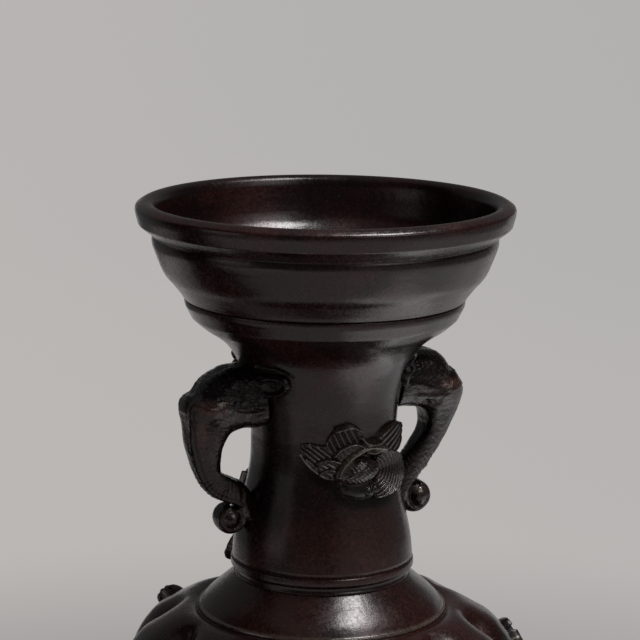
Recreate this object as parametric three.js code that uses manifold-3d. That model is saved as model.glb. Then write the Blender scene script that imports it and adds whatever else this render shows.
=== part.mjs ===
// A cast bronze vase: five castings joined end to end, two elephant-head handles and four applied birds.
// Millimetres, +Z up. The origin is the middle of the foot's underside, the handles lie along X and -Y is
// the front. An azimuth is measured in degrees from the front towards +X.
import * as THREE from 'three'
import { mergeVertices } from 'three/addons/utils/BufferGeometryUtils.js'
import Module from 'manifold-3d'

const wasm = await Module()
wasm.setup()

// Heights of the four castings, from the table up
const footHeight = 58
const bodyHeight = 132.5
const neckHeight = 105.75
const cupHeight = 35.75

// Walls, seats and clearances
const wall = 3.2
const fitGap = 0.3
const spigotLength = 7
const spigotWall = 2.6

// Mouth cup
const rimRadius = 70.6
const mouthRadius = 62.5
const lipHeight = 8
const coveHeight = 5
const grooveRadius = 64.1
const cupEndRadius = 52.5

// Neck
const ringRadius = 52.2
const ringHeight = 6.5
const waistRadius = 27.2
const beadRadius = 34.6
const beadHeight = 3.4
const throatRadius = 33
const throatHeight = 3

// Body
const collarRadius = 46.8
const collarHeight = 13.3
const bodyRadius = 80
const lobeCount = 10
const lobeDepth = 6.5
// The first groove's azimuth in degrees, and how narrow the grooves are
const grooveAzimuth = 96
const grooveSharpness = 3
// How far outside the collar the grooves start and have their full depth
const grooveStart = 3
const grooveFull = 14
const lowerCollarRadius = 48
const lowerCollarHeight = 11
const bodyEndRadius = 40.5

// Foot
const footTopRadius = 41.5
const footWaistRadius = 35
const footRadius = 57.5
const footRingHeight = 10
const stepHeight = 4.5
const rimFlatWidth = 8
const plateRecess = 3
const plateThickness = 2.6
const plateLedge = 3

// Elephant-head handles
const handleReach = 28.8
const handleDrop = 64.9
const crownDrop = 22.85
const headWidth = 21
const curlRadius = 6.4
const curlWidth = 10.4
const curlThickness = 4.6
const earRise = 5
const earThickness = 2.6
const eyeRadius = 2.4

// Applied birds: span over both wings, greatest height off the wall, and a raised wing tip's lift
const birdSpan = 50
const birdRelief = 5.6
const frontBirdDrop = 60.25
const rearBirdDrop = 81.75
const rightBirdDrop = 30
const leftBirdDrop = 24
const frontBirdAzimuth = 7
const rearBirdAzimuth = 199
const rightBirdAzimuth = 78
const leftBirdAzimuth = -160
const wingLift = 3

// Rivets that hold the handles and the birds
const headRivetRadius = 2
const smallRivetRadius = 1.2
const rivetHeadRatio = 1.8
const rivetHeadHeight = 1.6
const headRivetLength = 8
const curlRivetLength = 3.4

// Faces round the castings, and points round the outline of a feather pad
const roundSegments = 30
const lobeSegments = 5
const padPoints = 10

// Levels
const bodyBase = footHeight
const neckBase = bodyBase + bodyHeight
const cupBase = neckBase + neckHeight
const rimTop = cupBase + cupHeight

// Small helpers

function vec(radius, z) {
  return new THREE.Vector2(radius, z)
}

// Points along a smooth curve through a few chosen ones
function smooth(points, steps) {
  return new THREE.SplineCurve(points.map(([r, z]) => vec(r, z))).getSpacedPoints(steps)
}

// The same line moved to its left, which is towards the axis for a line that runs downwards
function inset(points, distance) {
  return points.map((point, i) => {
    const before = points[Math.max(i - 1, 0)]
    const after = points[Math.min(i + 1, points.length - 1)]
    const along = after.clone().sub(before).normalize()
    return vec(point.x + along.y * distance, point.y - along.x * distance)
  })
}

// Every second point of a line, with both ends kept
function everySecond(points) {
  return points.filter((point, i) => i % 2 === 0 || i === points.length - 1)
}

function smoothstep(low, high, x) {
  const t = THREE.MathUtils.clamp((x - low) / (high - low), 0, 1)
  return t * t * (3 - 2 * t)
}

function positionOnly(geometry) {
  const bare = new THREE.BufferGeometry()
  bare.setAttribute('position', geometry.getAttribute('position').clone())
  if (geometry.index) bare.setIndex(geometry.index.clone())
  return mergeVertices(bare, 1e-4)
}

function signedVolume(geometry) {
  const position = geometry.getAttribute('position')
  const [a, b, c] = [new THREE.Vector3(), new THREE.Vector3(), new THREE.Vector3()]
  let sum = 0
  for (let i = 0; i < geometry.index.count; i += 3) {
    a.fromBufferAttribute(position, geometry.index.getX(i))
    b.fromBufferAttribute(position, geometry.index.getX(i + 1))
    c.fromBufferAttribute(position, geometry.index.getX(i + 2))
    sum += a.dot(b.cross(c))
  }
  return sum / 6
}

// A closed geometry as a solid with its faces pointing out
function toSolid(geometry) {
  const bare = positionOnly(geometry)
  const flip = signedVolume(bare) < 0
  const triVerts = new Uint32Array(bare.index.array)
  for (let i = 0; flip && i < triVerts.length; i += 3) {
    const second = triVerts[i + 1]
    triVerts[i + 1] = triVerts[i + 2]
    triVerts[i + 2] = second
  }
  const vertProperties = new Float32Array(bare.getAttribute('position').array)
  return new wasm.Manifold(new wasm.Mesh({ numProp: 3, vertProperties, triVerts }))
}

function toGeometry(solid) {
  const mesh = solid.getMesh()
  const geometry = new THREE.BufferGeometry()
  geometry.setAttribute('position', new THREE.BufferAttribute(mesh.vertProperties.slice(), 3))
  geometry.setIndex(new THREE.BufferAttribute(mesh.triVerts.slice(), 1))
  return geometry
}

// A profile of (radius, height) points turned about the Z axis from a starting azimuth in radians.
// move(index, azimuth) may give a shifted point.
function revolve(profile, { closed = true, segments = roundSegments, start = 0, move = null } = {}) {
  const points = closed ? [...profile, profile[0]] : profile
  const geometry = new THREE.LatheGeometry(points, segments, start)
  geometry.rotateX(Math.PI / 2)
  if (move) {
    const position = geometry.getAttribute('position')
    for (let i = 0; i < position.count; i++) {
      const turn = Math.floor(i / points.length) % segments
      const azimuth = start + (turn / segments) * 2 * Math.PI
      const place = move((i % points.length) % profile.length, azimuth)
      position.setXYZ(i, place.x * Math.sin(azimuth), -place.x * Math.cos(azimuth), place.y)
    }
  }
  return toSolid(geometry)
}

// Sections given as centre, two half axes and their directions, skinned into one closed tube
function loft(sections, sides = 10) {
  const position = []
  for (const { centre, across, half, side, sideHalf } of sections) {
    for (let k = 0; k < sides; k++) {
      const angle = (k / sides) * 2 * Math.PI
      const point = centre.clone()
      point.addScaledVector(across, half * Math.cos(angle))
      point.addScaledVector(side, sideHalf * Math.sin(angle))
      position.push(point.x, point.y, point.z)
    }
  }
  const first = sections[0].centre
  const last = sections[sections.length - 1].centre
  position.push(first.x, first.y, first.z, last.x, last.y, last.z)
  const firstCap = sections.length * sides
  const index = []
  for (let k = 0; k < sides; k++) {
    const next = (k + 1) % sides
    for (let s = 0; s + 1 < sections.length; s++) {
      const low = s * sides
      const high = low + sides
      index.push(low + k, low + next, high + next, low + k, high + next, high + k)
    }
    const end = (sections.length - 1) * sides
    index.push(firstCap, next, k, firstCap + 1, end + k, end + next)
  }
  const geometry = new THREE.BufferGeometry()
  geometry.setAttribute('position', new THREE.Float32BufferAttribute(position, 3))
  geometry.setIndex(index)
  return toSolid(geometry)
}

// An ellipsoid at a point
function ellipsoid(centre, radii, columns = 12, rows = 8) {
  const geometry = new THREE.SphereGeometry(1, columns, rows)
  geometry.scale(radii.x, radii.y, radii.z)
  geometry.translate(centre.x, centre.y, centre.z)
  return toSolid(geometry)
}

// A round bar between two points
function bar(start, end, radius, sides = 7) {
  const geometry = new THREE.CylinderGeometry(radius, radius, start.distanceTo(end), sides)
  geometry.translate(0, start.distanceTo(end) / 2, 0)
  const direction = end.clone().sub(start).normalize()
  geometry.applyQuaternion(new THREE.Quaternion().setFromUnitVectors(new THREE.Vector3(0, 1, 0), direction))
  geometry.translate(start.x, start.y, start.z)
  return toSolid(geometry)
}

// Outer and inner lines of the castings, as (radius, height) points from top to bottom

const lipBase = rimTop - lipHeight
const coveBase = lipBase - coveHeight
const lipOuter = [
  vec(mouthRadius + 0.2, rimTop - 1.6),
  vec(mouthRadius + 1.8, rimTop - 0.2),
  vec(rimRadius - 1.7, rimTop),
  vec(rimRadius - 0.4, rimTop - 0.6),
  vec(rimRadius, rimTop - 1.7),
  vec(rimRadius - 0.6, rimTop - lipHeight / 2),
  vec(rimRadius - 1.7, lipBase),
]
const coveOuter = smooth([
  [rimRadius - 2.6, lipBase - 0.2 * coveHeight],
  [rimRadius - 5, lipBase - 0.6 * coveHeight],
  [grooveRadius, coveBase],
], 2)
const bowlDrop = coveBase - cupBase
const bowlSwell = grooveRadius - cupEndRadius
const bowlOuter = smooth([
  [grooveRadius, coveBase - 0.1 * bowlDrop],
  [cupEndRadius + 0.91 * bowlSwell, coveBase - 0.24 * bowlDrop],
  [cupEndRadius + 0.64 * bowlSwell, coveBase - 0.57 * bowlDrop],
  [cupEndRadius + 0.35 * bowlSwell, coveBase - 0.75 * bowlDrop],
  [cupEndRadius + 0.09 * bowlSwell, coveBase - 0.92 * bowlDrop],
  [cupEndRadius, cupBase],
], 7)

// The neck's trumpet narrows to the waist, then widens to the bead
const beadTop = neckBase + throatHeight + beadHeight
const trumpetTop = cupBase - ringHeight - 0.7
const trumpetDrop = 44
const trumpetOuter = smooth([
  [ringRadius - 2.6, trumpetTop],
  [ringRadius - 6.7, trumpetTop - 0.08 * trumpetDrop],
  [waistRadius + 0.545 * (ringRadius - waistRadius), trumpetTop - 0.15 * trumpetDrop],
  [waistRadius + 0.38 * (ringRadius - waistRadius), trumpetTop - 0.23 * trumpetDrop],
  [waistRadius + 0.25 * (ringRadius - waistRadius), trumpetTop - 0.34 * trumpetDrop],
  [waistRadius + 0.13 * (ringRadius - waistRadius), trumpetTop - 0.51 * trumpetDrop],
  [waistRadius + 0.04 * (ringRadius - waistRadius), trumpetTop - 0.72 * trumpetDrop],
  [waistRadius, trumpetTop - trumpetDrop],
], 8)
const stemDrop = trumpetTop - trumpetDrop - beadTop
const stemOuter = smooth([
  [waistRadius, trumpetTop - trumpetDrop],
  [waistRadius + 0.05 * (beadRadius - waistRadius), trumpetTop - trumpetDrop - 0.25 * stemDrop],
  [waistRadius + 0.4 * (beadRadius - waistRadius), beadTop + 0.48 * stemDrop],
  [waistRadius + 0.8 * (beadRadius - waistRadius), beadTop + 0.2 * stemDrop],
  [beadRadius - 0.5, beadTop],
], 3).slice(1)
const neckOuter = [...trumpetOuter, ...stemOuter]

// The body: a smooth collar, ten lobes and a lower collar
const collarBase = neckBase - collarHeight
const collarOuter = smooth([
  [throatRadius, neckBase],
  [throatRadius + 0.27 * (collarRadius - throatRadius), neckBase - 0.25 * collarHeight],
  [throatRadius + 0.72 * (collarRadius - throatRadius), neckBase - 0.66 * collarHeight],
  [collarRadius, collarBase],
], 3)
const lobeTop = collarBase - 0.4
const lobeBase = bodyBase + lowerCollarHeight + 1
const lobeRise = lobeTop - lobeBase

// The crown line of a lobe: it swells just outside the collar, then falls away to the lower collar
function crownLine(steps) {
  return smooth([
    [collarRadius + 1, lobeTop],
    [collarRadius + 3.5, lobeTop + 0.5],
    [collarRadius + 7.6, lobeTop],
    [collarRadius + 14.7, lobeTop - 0.036 * lobeRise],
    [collarRadius + 22.2, lobeTop - 0.086 * lobeRise],
    [bodyRadius - 4, lobeTop - 0.19 * lobeRise],
    [bodyRadius, lobeTop - 0.35 * lobeRise],
    [bodyRadius - 1.6, lobeTop - 0.52 * lobeRise],
    [bodyRadius - 8, lobeTop - 0.7 * lobeRise],
    [bodyRadius - 19, lobeTop - 0.87 * lobeRise],
    [lowerCollarRadius + 1, lobeBase],
  ], steps)
}

const lobeOuter = crownLine(11)
const lowerCollarOuter = smooth([
  [lowerCollarRadius, bodyBase + lowerCollarHeight],
  [lowerCollarRadius - 1.2, bodyBase + 0.6 * lowerCollarHeight],
  [bodyEndRadius, bodyBase],
], 2)

// How far a lobe's surface is drawn in at an azimuth: nothing on its crown, all of it in the groove
const firstGroove = THREE.MathUtils.degToRad(grooveAzimuth)

function lobeShare(azimuth) {
  const lobe = (2 * Math.PI) / lobeCount
  const offset = THREE.MathUtils.euclideanModulo(azimuth - firstGroove, lobe) / lobe
  return Math.abs(2 * offset - 1) ** grooveSharpness
}

// The grooves run out towards both collars
function lobeFade(point) {
  const onShoulder = point.y > lobeTop - 0.3 * lobeRise
  const fromCollar = point.x - collarRadius
  const above = onShoulder ? smoothstep(grooveStart, grooveFull, fromCollar) : 1
  return above * smoothstep(lobeBase, lobeBase + 0.2 * lobeRise, point.y)
}

// Castings

const cupSpigotRadius = cupEndRadius - 6
const neckSpigotRadius = throatRadius - wall
const footSpigotRadius = bodyEndRadius - wall - 3

function mouthCup() {
  const inner = inset(bowlOuter, wall).filter((point) => point.y > cupBase + 1)
  const outline = [
    ...lipOuter,
    ...coveOuter,
    ...bowlOuter.slice(1),
    vec(cupSpigotRadius, cupBase),
    vec(cupSpigotRadius, cupBase - spigotLength),
    vec(cupSpigotRadius - spigotWall, cupBase - spigotLength),
    vec(cupSpigotRadius - spigotWall, cupBase),
    ...everySecond(inner.filter((point) => point.x > cupSpigotRadius - spigotWall)).reverse(),
    vec(mouthRadius - 0.3, lipBase),
    vec(mouthRadius, rimTop - 3),
  ]
  return revolve(outline)
}

const socketRadius = cupSpigotRadius + fitGap
const socketBase = cupBase - spigotLength - fitGap
const neckSeat = cupBase - fitGap
const neckBore = throatRadius - wall - spigotWall

function neckInnerLine() {
  const low = neckBase + throatHeight + beadHeight + 6
  const line = inset(neckOuter, wall).filter((point) => point.y < socketBase - 1 && point.y > low)
  return everySecond(line.filter((point) => point.x < socketRadius - 1))
}

function neck() {
  const rising = neckInnerLine().reverse()
  const outline = [
    vec(ringRadius, neckSeat),
    vec(ringRadius, neckSeat - 0.3 * ringHeight),
    vec(ringRadius - 1.8, neckSeat - 0.85 * ringHeight),
    ...neckOuter,
    vec(beadRadius, beadTop - 0.4),
    vec(beadRadius, neckBase + throatHeight + 0.4),
    vec(beadRadius - 0.8, neckBase + throatHeight),
    vec(throatRadius, neckBase + throatHeight - 0.6),
    vec(throatRadius, neckBase),
    vec(neckSpigotRadius, neckBase),
    vec(neckSpigotRadius, neckBase - spigotLength),
    vec(neckBore, neckBase - spigotLength),
    vec(neckBore, neckBase + throatHeight),
    ...rising,
    vec(rising[rising.length - 1].x, socketBase),
    vec(socketRadius, socketBase),
    vec(socketRadius, neckSeat),
  ]
  return revolve(outline)
}

const bodySocketRadius = neckSpigotRadius + fitGap
const bodySocketBase = neckBase - spigotLength - fitGap
const footSocketRadius = footSpigotRadius + fitGap
const lobeInner = inset(crownLine(6), wall)

// Moves a point of the body's profile into its lobe by the point's own normal
function lobed(points, inward) {
  return (index, azimuth) => {
    const point = points[index]
    const direction = inward[index]
    const depth = direction ? lobeDepth * lobeShare(azimuth) * lobeFade(point) : 0
    return direction ? vec(point.x + direction.x * depth, point.y + direction.y * depth) : point
  }
}

function inwardNormals(points) {
  const shifted = inset(points, 1)
  return points.map((point, i) => shifted[i].clone().sub(point))
}

function body() {
  const innerLine = lobeInner.filter((point) => point.x > bodySocketRadius + 1)
  const innerNormals = inwardNormals(innerLine)
  const top = [vec(bodySocketRadius, neckBase), ...collarOuter]
  const bottom = [
    ...lowerCollarOuter,
    vec(footSocketRadius, bodyBase),
    vec(footSocketRadius, bodyBase + spigotLength + fitGap),
  ]
  const closing = [vec(bodySocketRadius, bodySocketBase)]
  const points = [...top, ...lobeOuter, ...bottom, ...innerLine.toReversed(), ...closing]
  const inward = [
    ...top.map(() => null),
    ...inwardNormals(lobeOuter),
    ...bottom.map(() => null),
    ...innerNormals.toReversed(),
    ...closing.map(() => null),
  ]
  return revolve(points, {
    segments: lobeCount * lobeSegments,
    start: firstGroove,
    move: lobed(points, inward),
  })
}

const footSeat = footHeight - fitGap
const stepTop = footRingHeight + stepHeight
const ledgeHeight = plateRecess + plateThickness + fitGap
const plateSocketRadius = footRadius - rimFlatWidth

function foot() {
  const coveTop = footSeat - 7
  const outer = smooth([
    [footTopRadius - 3.4, coveTop],
    [footWaistRadius, coveTop - 0.22 * (coveTop - stepTop)],
    [footWaistRadius + 1.2, coveTop - 0.48 * (coveTop - stepTop)],
    [footWaistRadius + 0.38 * (footRadius - footWaistRadius), coveTop - 0.76 * (coveTop - stepTop)],
    [footRadius - 7, stepTop + 1],
  ], 6)
  const inner = everySecond(inset(outer, wall).filter((point) => point.y > ledgeHeight + 5))
  const outline = [
    vec(footTopRadius - 1, footSeat),
    vec(footTopRadius, footSeat - 1.4),
    vec(footTopRadius, footSeat - 3.4),
    vec(footTopRadius - 1.6, footSeat - 4.8),
    ...outer,
    vec(footRadius - 7, stepTop),
    vec(footRadius - 3.4, stepTop),
    vec(footRadius - 3, footRingHeight + 0.6),
    vec(footRadius - 1, footRingHeight),
    vec(footRadius, footRingHeight - 1.6),
    vec(footRadius, 1),
    vec(footRadius - 0.8, 0),
    vec(plateSocketRadius, 0),
    vec(plateSocketRadius, ledgeHeight),
    vec(plateSocketRadius - plateLedge, ledgeHeight),
    ...inner.toReversed(),
    vec(footSpigotRadius - wall, footSeat),
    vec(footSpigotRadius - wall, footHeight + spigotLength),
    vec(footSpigotRadius, footHeight + spigotLength),
    vec(footSpigotRadius, footSeat),
  ]
  return revolve(outline)
}

function basePlate() {
  const radius = plateSocketRadius - fitGap
  const outline = [
    vec(0, plateRecess),
    vec(radius, plateRecess),
    vec(radius, plateRecess + plateThickness),
    vec(0, plateRecess + plateThickness),
  ]
  return revolve(outline, { closed: false })
}

// The surfaces that ornaments sit on

function radiusAt(line, z) {
  for (let i = 0; i + 1 < line.length; i++) {
    const [high, low] = [line[i], line[i + 1]]
    if (z <= high.y && z >= low.y) {
      const t = (high.y - z) / (high.y - low.y || 1)
      return high.x + (low.x - high.x) * t
    }
  }
  return z > line[0].y ? line[0].x : line[line.length - 1].x
}

function polar(radius, azimuth, z) {
  return new THREE.Vector3(radius * Math.sin(azimuth), -radius * Math.cos(azimuth), z)
}

// A host gives the place on a wall that lies across, up and out from a bird's middle. side is -1 for a
// bird that faces the other way.

function neckHost(azimuthDegrees, height, side = 1) {
  const middle = THREE.MathUtils.degToRad(azimuthDegrees)
  const reach = radiusAt(neckOuter, height)
  return (across, up, out) => {
    const radius = radiusAt(neckOuter, height + up)
    return polar(radius + out, middle + (side * across) / reach, height + up)
  }
}

// The shoulder's meridian is followed by its length, and its lobes by their depth
function shoulderHost(azimuthDegrees, drop, side = 1) {
  const middle = THREE.MathUtils.degToRad(azimuthDegrees)
  const inward = inwardNormals(lobeOuter)
  const lengths = [0]
  for (let i = 1; i < lobeOuter.length; i++) {
    lengths.push(lengths[i - 1] + lobeOuter[i].distanceTo(lobeOuter[i - 1]))
  }
  const height = collarBase - drop
  const below = lobeOuter.findIndex((point) => point.y < height)
  const [high, low] = [lobeOuter[below - 1], lobeOuter[below]]
  const share = (high.y - height) / (high.y - low.y)
  const start = THREE.MathUtils.lerp(lengths[below - 1], lengths[below], share)
  const reach = THREE.MathUtils.lerp(high.x, low.x, share)
  return (across, up, out) => {
    const length = THREE.MathUtils.clamp(start - up, 0, lengths[lengths.length - 1])
    const next = Math.max(1, lengths.findIndex((value) => value >= length))
    const t = (length - lengths[next - 1]) / (lengths[next] - lengths[next - 1])
    const point = lobeOuter[next - 1].clone().lerp(lobeOuter[next], t)
    const normal = inward[next - 1].clone().lerp(inward[next], t).normalize().negate()
    const azimuth = middle + (side * across) / reach
    const lift = out - lobeDepth * lobeShare(azimuth) * lobeFade(point)
    return polar(point.x + normal.x * lift, azimuth, point.y + normal.y * lift)
  }
}

// The castings' outer forms grown by the fitting gap, which trim each ornament to its seat
function neckTrimmer() {
  const grown = inset(neckOuter, -fitGap)
  const collarEdge = collarOuter[1]
  return revolve([
    vec(0, cupBase),
    vec(ringRadius, cupBase),
    vec(ringRadius, trumpetTop + 1),
    ...grown,
    vec(beadRadius + fitGap, beadTop + fitGap),
    vec(beadRadius + fitGap, neckBase + fitGap),
    vec(collarEdge.x + 2 * fitGap, collarEdge.y),
    vec(0, collarEdge.y),
  ], { closed: false })
}

function bodyTrimmer() {
  const grown = inset(lobeOuter, -fitGap)
  const points = [vec(0, lobeTop + fitGap), ...grown, vec(0, lobeBase)]
  const inward = [null, ...inwardNormals(lobeOuter), null]
  return revolve(points, {
    closed: false,
    segments: lobeCount * lobeSegments,
    start: firstGroove,
    move: lobed(points, inward),
  })
}

// Elephant-head handles: the head grows out of the trumpet, the trunk drops and its tip curls at the neck.
// Outlines are shares of the handle's reach from the waist and of its drop from the crown.

const leftOutline = {
  outer: [
    [0.12, 0], [0.57, 0.037], [0.84, 0.142], [0.985, 0.3],
    [0.906, 0.527], [0.72, 0.709], [0.42, 0.804], [0.25, 0.92],
  ],
  inner: [
    [-0.01, 0.37], [0.22, 0.368], [0.4, 0.385], [0.493, 0.456],
    [0.528, 0.567], [0.41, 0.658], [0.18, 0.715], [0.03, 0.88],
  ],
  curl: [0.29, 0.9],
}
const rightOutline = {
  outer: [
    [0.12, 0], [0.6, 0.03], [0.88, 0.13], [0.99, 0.3],
    [0.86, 0.48], [0.62, 0.65], [0.4, 0.79], [0.33, 0.9],
  ],
  inner: [
    [-0.01, 0.36], [0.2, 0.35], [0.38, 0.365], [0.45, 0.43],
    [0.4, 0.52], [0.235, 0.62], [0.06, 0.75], [0.04, 0.9],
  ],
  curl: [0.36, 0.89],
}
const widthShares = [1, 0.92, 0.78, 0.66, 0.57, 0.51, 0.46, 0.38]
const crownZ = cupBase - crownDrop

// A point of the handle's middle plane, which is the +X side before the handle is turned to its place
function handlePoint([reach, drop]) {
  return new THREE.Vector3(waistRadius + reach * handleReach, 0, crownZ - drop * handleDrop)
}

function spaced(points, count) {
  return new THREE.CatmullRomCurve3(points).getPoints(count)
}

function trunkSections(outline, count = 15) {
  const outer = spaced(outline.outer.map(handlePoint), count)
  const inner = spaced(outline.inner.map(handlePoint), count)
  const widths = spaced(widthShares.map((share) => new THREE.Vector3(share, 0, 0)), count)
  const side = new THREE.Vector3(0, 1, 0)
  return outer.map((point, i) => {
    const across = point.clone().sub(inner[i])
    const half = across.length() / 2
    const centre = point.clone().add(inner[i]).multiplyScalar(0.5)
    return { centre, across: across.normalize(), half, side, sideHalf: (widths[i].x * headWidth) / 2 }
  })
}

// An ear lies back along the trumpet beside the head
function ear(sign) {
  const z = crownZ - 0.08 * handleDrop
  const angles = [12, 20, 28, 36, 41]
  const heights = [0.6, 0.9, 1, 0.8, 0.35]
  const up = new THREE.Vector3(0, 0, 1)
  return loft(angles.map((degrees, i) => {
    const angle = THREE.MathUtils.degToRad(sign * degrees)
    const outward = new THREE.Vector3(Math.cos(angle), Math.sin(angle), 0)
    const radius = radiusAt(neckOuter, z) + earThickness / 2
    const centre = outward.clone().multiplyScalar(radius).setZ(z)
    const sideHalf = earThickness / 2 + 0.6
    return { centre, across: up, half: earRise * heights[i], side: outward, sideHalf }
  }), 6)
}

function eye(outline, sign) {
  const place = handlePoint([0.62, 0.2])
  place.y = sign * 0.39 * headWidth
  return ellipsoid(place, new THREE.Vector3(eyeRadius * 1.3, eyeRadius, eyeRadius), 6, 5)
}

// The rolled tip of the trunk: a thick scroll that winds in over most of a turn round a rounded middle
const curlSteps = 8
const curlStart = 118
const curlSweep = 285

function curl(centre) {
  const side = new THREE.Vector3(0, 1, 0)
  const sections = Array.from({ length: curlSteps + 1 }, (unused, i) => {
    const share = i / curlSteps
    const angle = THREE.MathUtils.degToRad(curlStart + curlSweep * share)
    const across = new THREE.Vector3(Math.cos(angle), 0, Math.sin(angle))
    const half = (curlThickness / 2) * (1 - 0.35 * share)
    const place = centre.clone().addScaledVector(across, curlRadius * (1 - 0.14 * share) - half)
    return { centre: place, across, half, side, sideHalf: (curlWidth / 2) * (0.84 + 0.16 * share) }
  })
  const middle = new THREE.Vector3(0.62 * curlRadius, 0.47 * curlWidth, 0.62 * curlRadius)
  return loft(sections, 6).add(ellipsoid(centre, middle, 8, 5))
}

function turned(solid, degrees) {
  return solid.rotate([0, 0, degrees])
}

function handle(outline, degrees, rivets, trimmer) {
  const curlCentre = handlePoint(outline.curl)
  let solid = loft(trunkSections(outline)).add(curl(curlCentre))
  for (const sign of [-1, 1]) {
    solid = solid.add(ear(sign)).add(eye(outline, sign))
  }
  solid = turned(solid, degrees).subtract(trimmer)
  return rivets.reduce((left, rivet) => left.subtract(rivet.hole), solid)
}

// Applied birds: overlapping pads, each an outline in shares of the span, a crown height in shares of the
// relief and a tilt, which is the height that it gains for each span to the right.

function ellipse([x, y], [long, short], lean) {
  return Array.from({ length: padPoints }, (unused, k) => {
    const angle = (k / padPoints) * 2 * Math.PI
    const [forward, side] = [long * Math.cos(angle), short * Math.sin(angle)]
    const across = forward * Math.cos(lean) - side * Math.sin(lean)
    const up = forward * Math.sin(lean) + side * Math.cos(lean)
    return [x + across, y + up]
  })
}

const birdPads = {
  outerFeathers: {
    crown: 0.45,
    tilt: 0.4,
    outline: [
      [-0.47, 0.2], [-0.41, 0.21], [-0.26, 0.19], [-0.18, 0.12],
      [-0.16, 0], [-0.28, -0.06], [-0.41, 0.04],
    ],
  },
  upperFeathers: {
    crown: 0.52,
    tilt: 0.36,
    outline: [
      [-0.28, 0.19], [-0.27, 0.24], [-0.21, 0.32], [-0.11, 0.34],
      [-0.01, 0.25], [0.04, 0.18], [-0.14, 0.12],
    ],
  },
  arm: {
    crown: 0.76,
    tilt: 0,
    outline: [
      [-0.21, -0.03], [-0.17, 0.06], [-0.11, 0.13], [-0.02, 0.19], [0.11, 0.19],
      [0.18, 0.15], [0.04, 0.14], [-0.09, 0.07], [-0.17, -0.04],
    ],
  },
  breast: {
    crown: 0.6,
    tilt: 0,
    rounded: true,
    outline: [
      [-0.19, -0.04], [-0.19, -0.13], [-0.16, -0.18], [-0.04, -0.22],
      [0.09, -0.2], [0.1, -0.13], [0.06, -0.04],
    ],
  },
  head: {
    crown: 0.86,
    tilt: 0,
    rounded: true,
    outline: ellipse([-0.044, -0.01], [0.152, 0.102], Math.PI / 15),
  },
  fan: {
    crown: 0.5,
    tilt: 0.44,
    outline: [
      [0.09, 0.09], [0.19, 0.12], [0.33, 0.09], [0.41, 0.03],
      [0.43, -0.06], [0.32, -0.2], [0.08, -0.22], [0.07, -0.13],
    ],
  },
  raisedWing: {
    crown: 0.46,
    tilt: 0.98,
    raised: true,
    outline: [
      [0.1, 0.2], [0.16, 0.24], [0.31, 0.3], [0.42, 0.29],
      [0.51, 0.25], [0.53, 0.18], [0.36, 0.07], [0.12, 0.14],
    ],
  },
}

// Levels of a pad as (share of the way out from its middle, share of its height). Feathers have steep edges
// and the head and breast are domed.
const padBase = [1, -0.8]
const flatLevels = [padBase, [1, 0.86]]
const roundedLevels = [padBase, [1, 0.2], [0.6, 0.84]]

function pad(host, { crown, tilt, outline, rounded, raised }, { turn, lift }) {
  const flat = outline.map(([x, y]) => new THREE.Vector3(x, y, 0))
  const rim = new THREE.CatmullRomCurve3(flat, true).getSpacedPoints(padPoints).slice(0, padPoints)
  const middle = flat.reduce((sum, point) => sum.add(point), new THREE.Vector3()).divideScalar(flat.length)
  const [cos, sin] = [Math.cos(turn), Math.sin(turn)]
  const place = (share, point, level) => {
    const local = middle.clone().lerp(point, share)
    const away = raised ? lift * smoothstep(0.24, 0.5, local.x) : 0
    const out = level > 0 ? level * (crown + tilt * local.x) * birdRelief + away : level
    local.multiplyScalar(birdSpan)
    return host(local.x * cos - local.y * sin, local.x * sin + local.y * cos, out)
  }
  const levels = rounded ? roundedLevels : flatLevels
  const position = []
  for (const [share, level] of levels) {
    for (const point of rim) position.push(...place(share, point, level).toArray())
  }
  position.push(...place(0, middle, padBase[1]).toArray(), ...place(0, middle, 1).toArray())
  const base = levels.length * rim.length
  const index = []
  for (let k = 0; k < rim.length; k++) {
    const next = (k + 1) % rim.length
    for (let level = 0; level + 1 < levels.length; level++) {
      const low = level * rim.length
      const high = low + rim.length
      index.push(low + k, low + next, high + next, low + k, high + next, high + k)
    }
    const top = (levels.length - 1) * rim.length
    index.push(base, next, k, base + 1, top + k, top + next)
  }
  const geometry = new THREE.BufferGeometry()
  geometry.setAttribute('position', new THREE.Float32BufferAttribute(position, 3))
  geometry.setIndex(index)
  return toSolid(geometry)
}

function bird(host, pose, rivets, trimmer) {
  const pads = Object.values(birdPads).map((shape) => pad(host, shape, pose))
  const whole = pads.reduce((sum, next) => sum.add(next)).subtract(trimmer)
  return rivets.reduce((left, rivet) => left.subtract(rivet.hole), whole)
}

// How far in from a spot on its outer face a wall reaches, over a round footprint
const probeLength = 12

function wallDepth(casting, outside, outward, radius) {
  const start = outside.clone().addScaledVector(outward, 1)
  const probe = bar(start, outside.clone().addScaledVector(outward, -probeLength), radius)
  const position = toGeometry(casting.intersect(probe)).getAttribute('position')
  const corner = new THREE.Vector3()
  let deepest = 0
  for (let i = 0; i < position.count; i++) {
    corner.fromBufferAttribute(position, i)
    deepest = Math.max(deepest, outside.clone().sub(corner).dot(outward))
  }
  return deepest
}

// A rivet through a casting's wall, with a round head inside it: its solid and the hole it passes through
function rivet(casting, outside, outward, radius, length) {
  const headRadius = radius * rivetHeadRatio
  const depth = wallDepth(casting, outside, outward, headRadius)
  const headBase = outside.clone().addScaledVector(outward, -depth - fitGap)
  const headTop = headBase.clone().addScaledVector(outward, -rivetHeadHeight)
  const tip = outside.clone().addScaledVector(outward, length)
  const holeStart = headTop.clone().addScaledVector(outward, -1)
  const holeEnd = tip.clone().addScaledVector(outward, fitGap)
  const solid = bar(headTop, tip, radius).add(bar(headTop, headBase, headRadius))
  return { solid, hole: bar(holeStart, holeEnd, radius + fitGap) }
}

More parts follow.
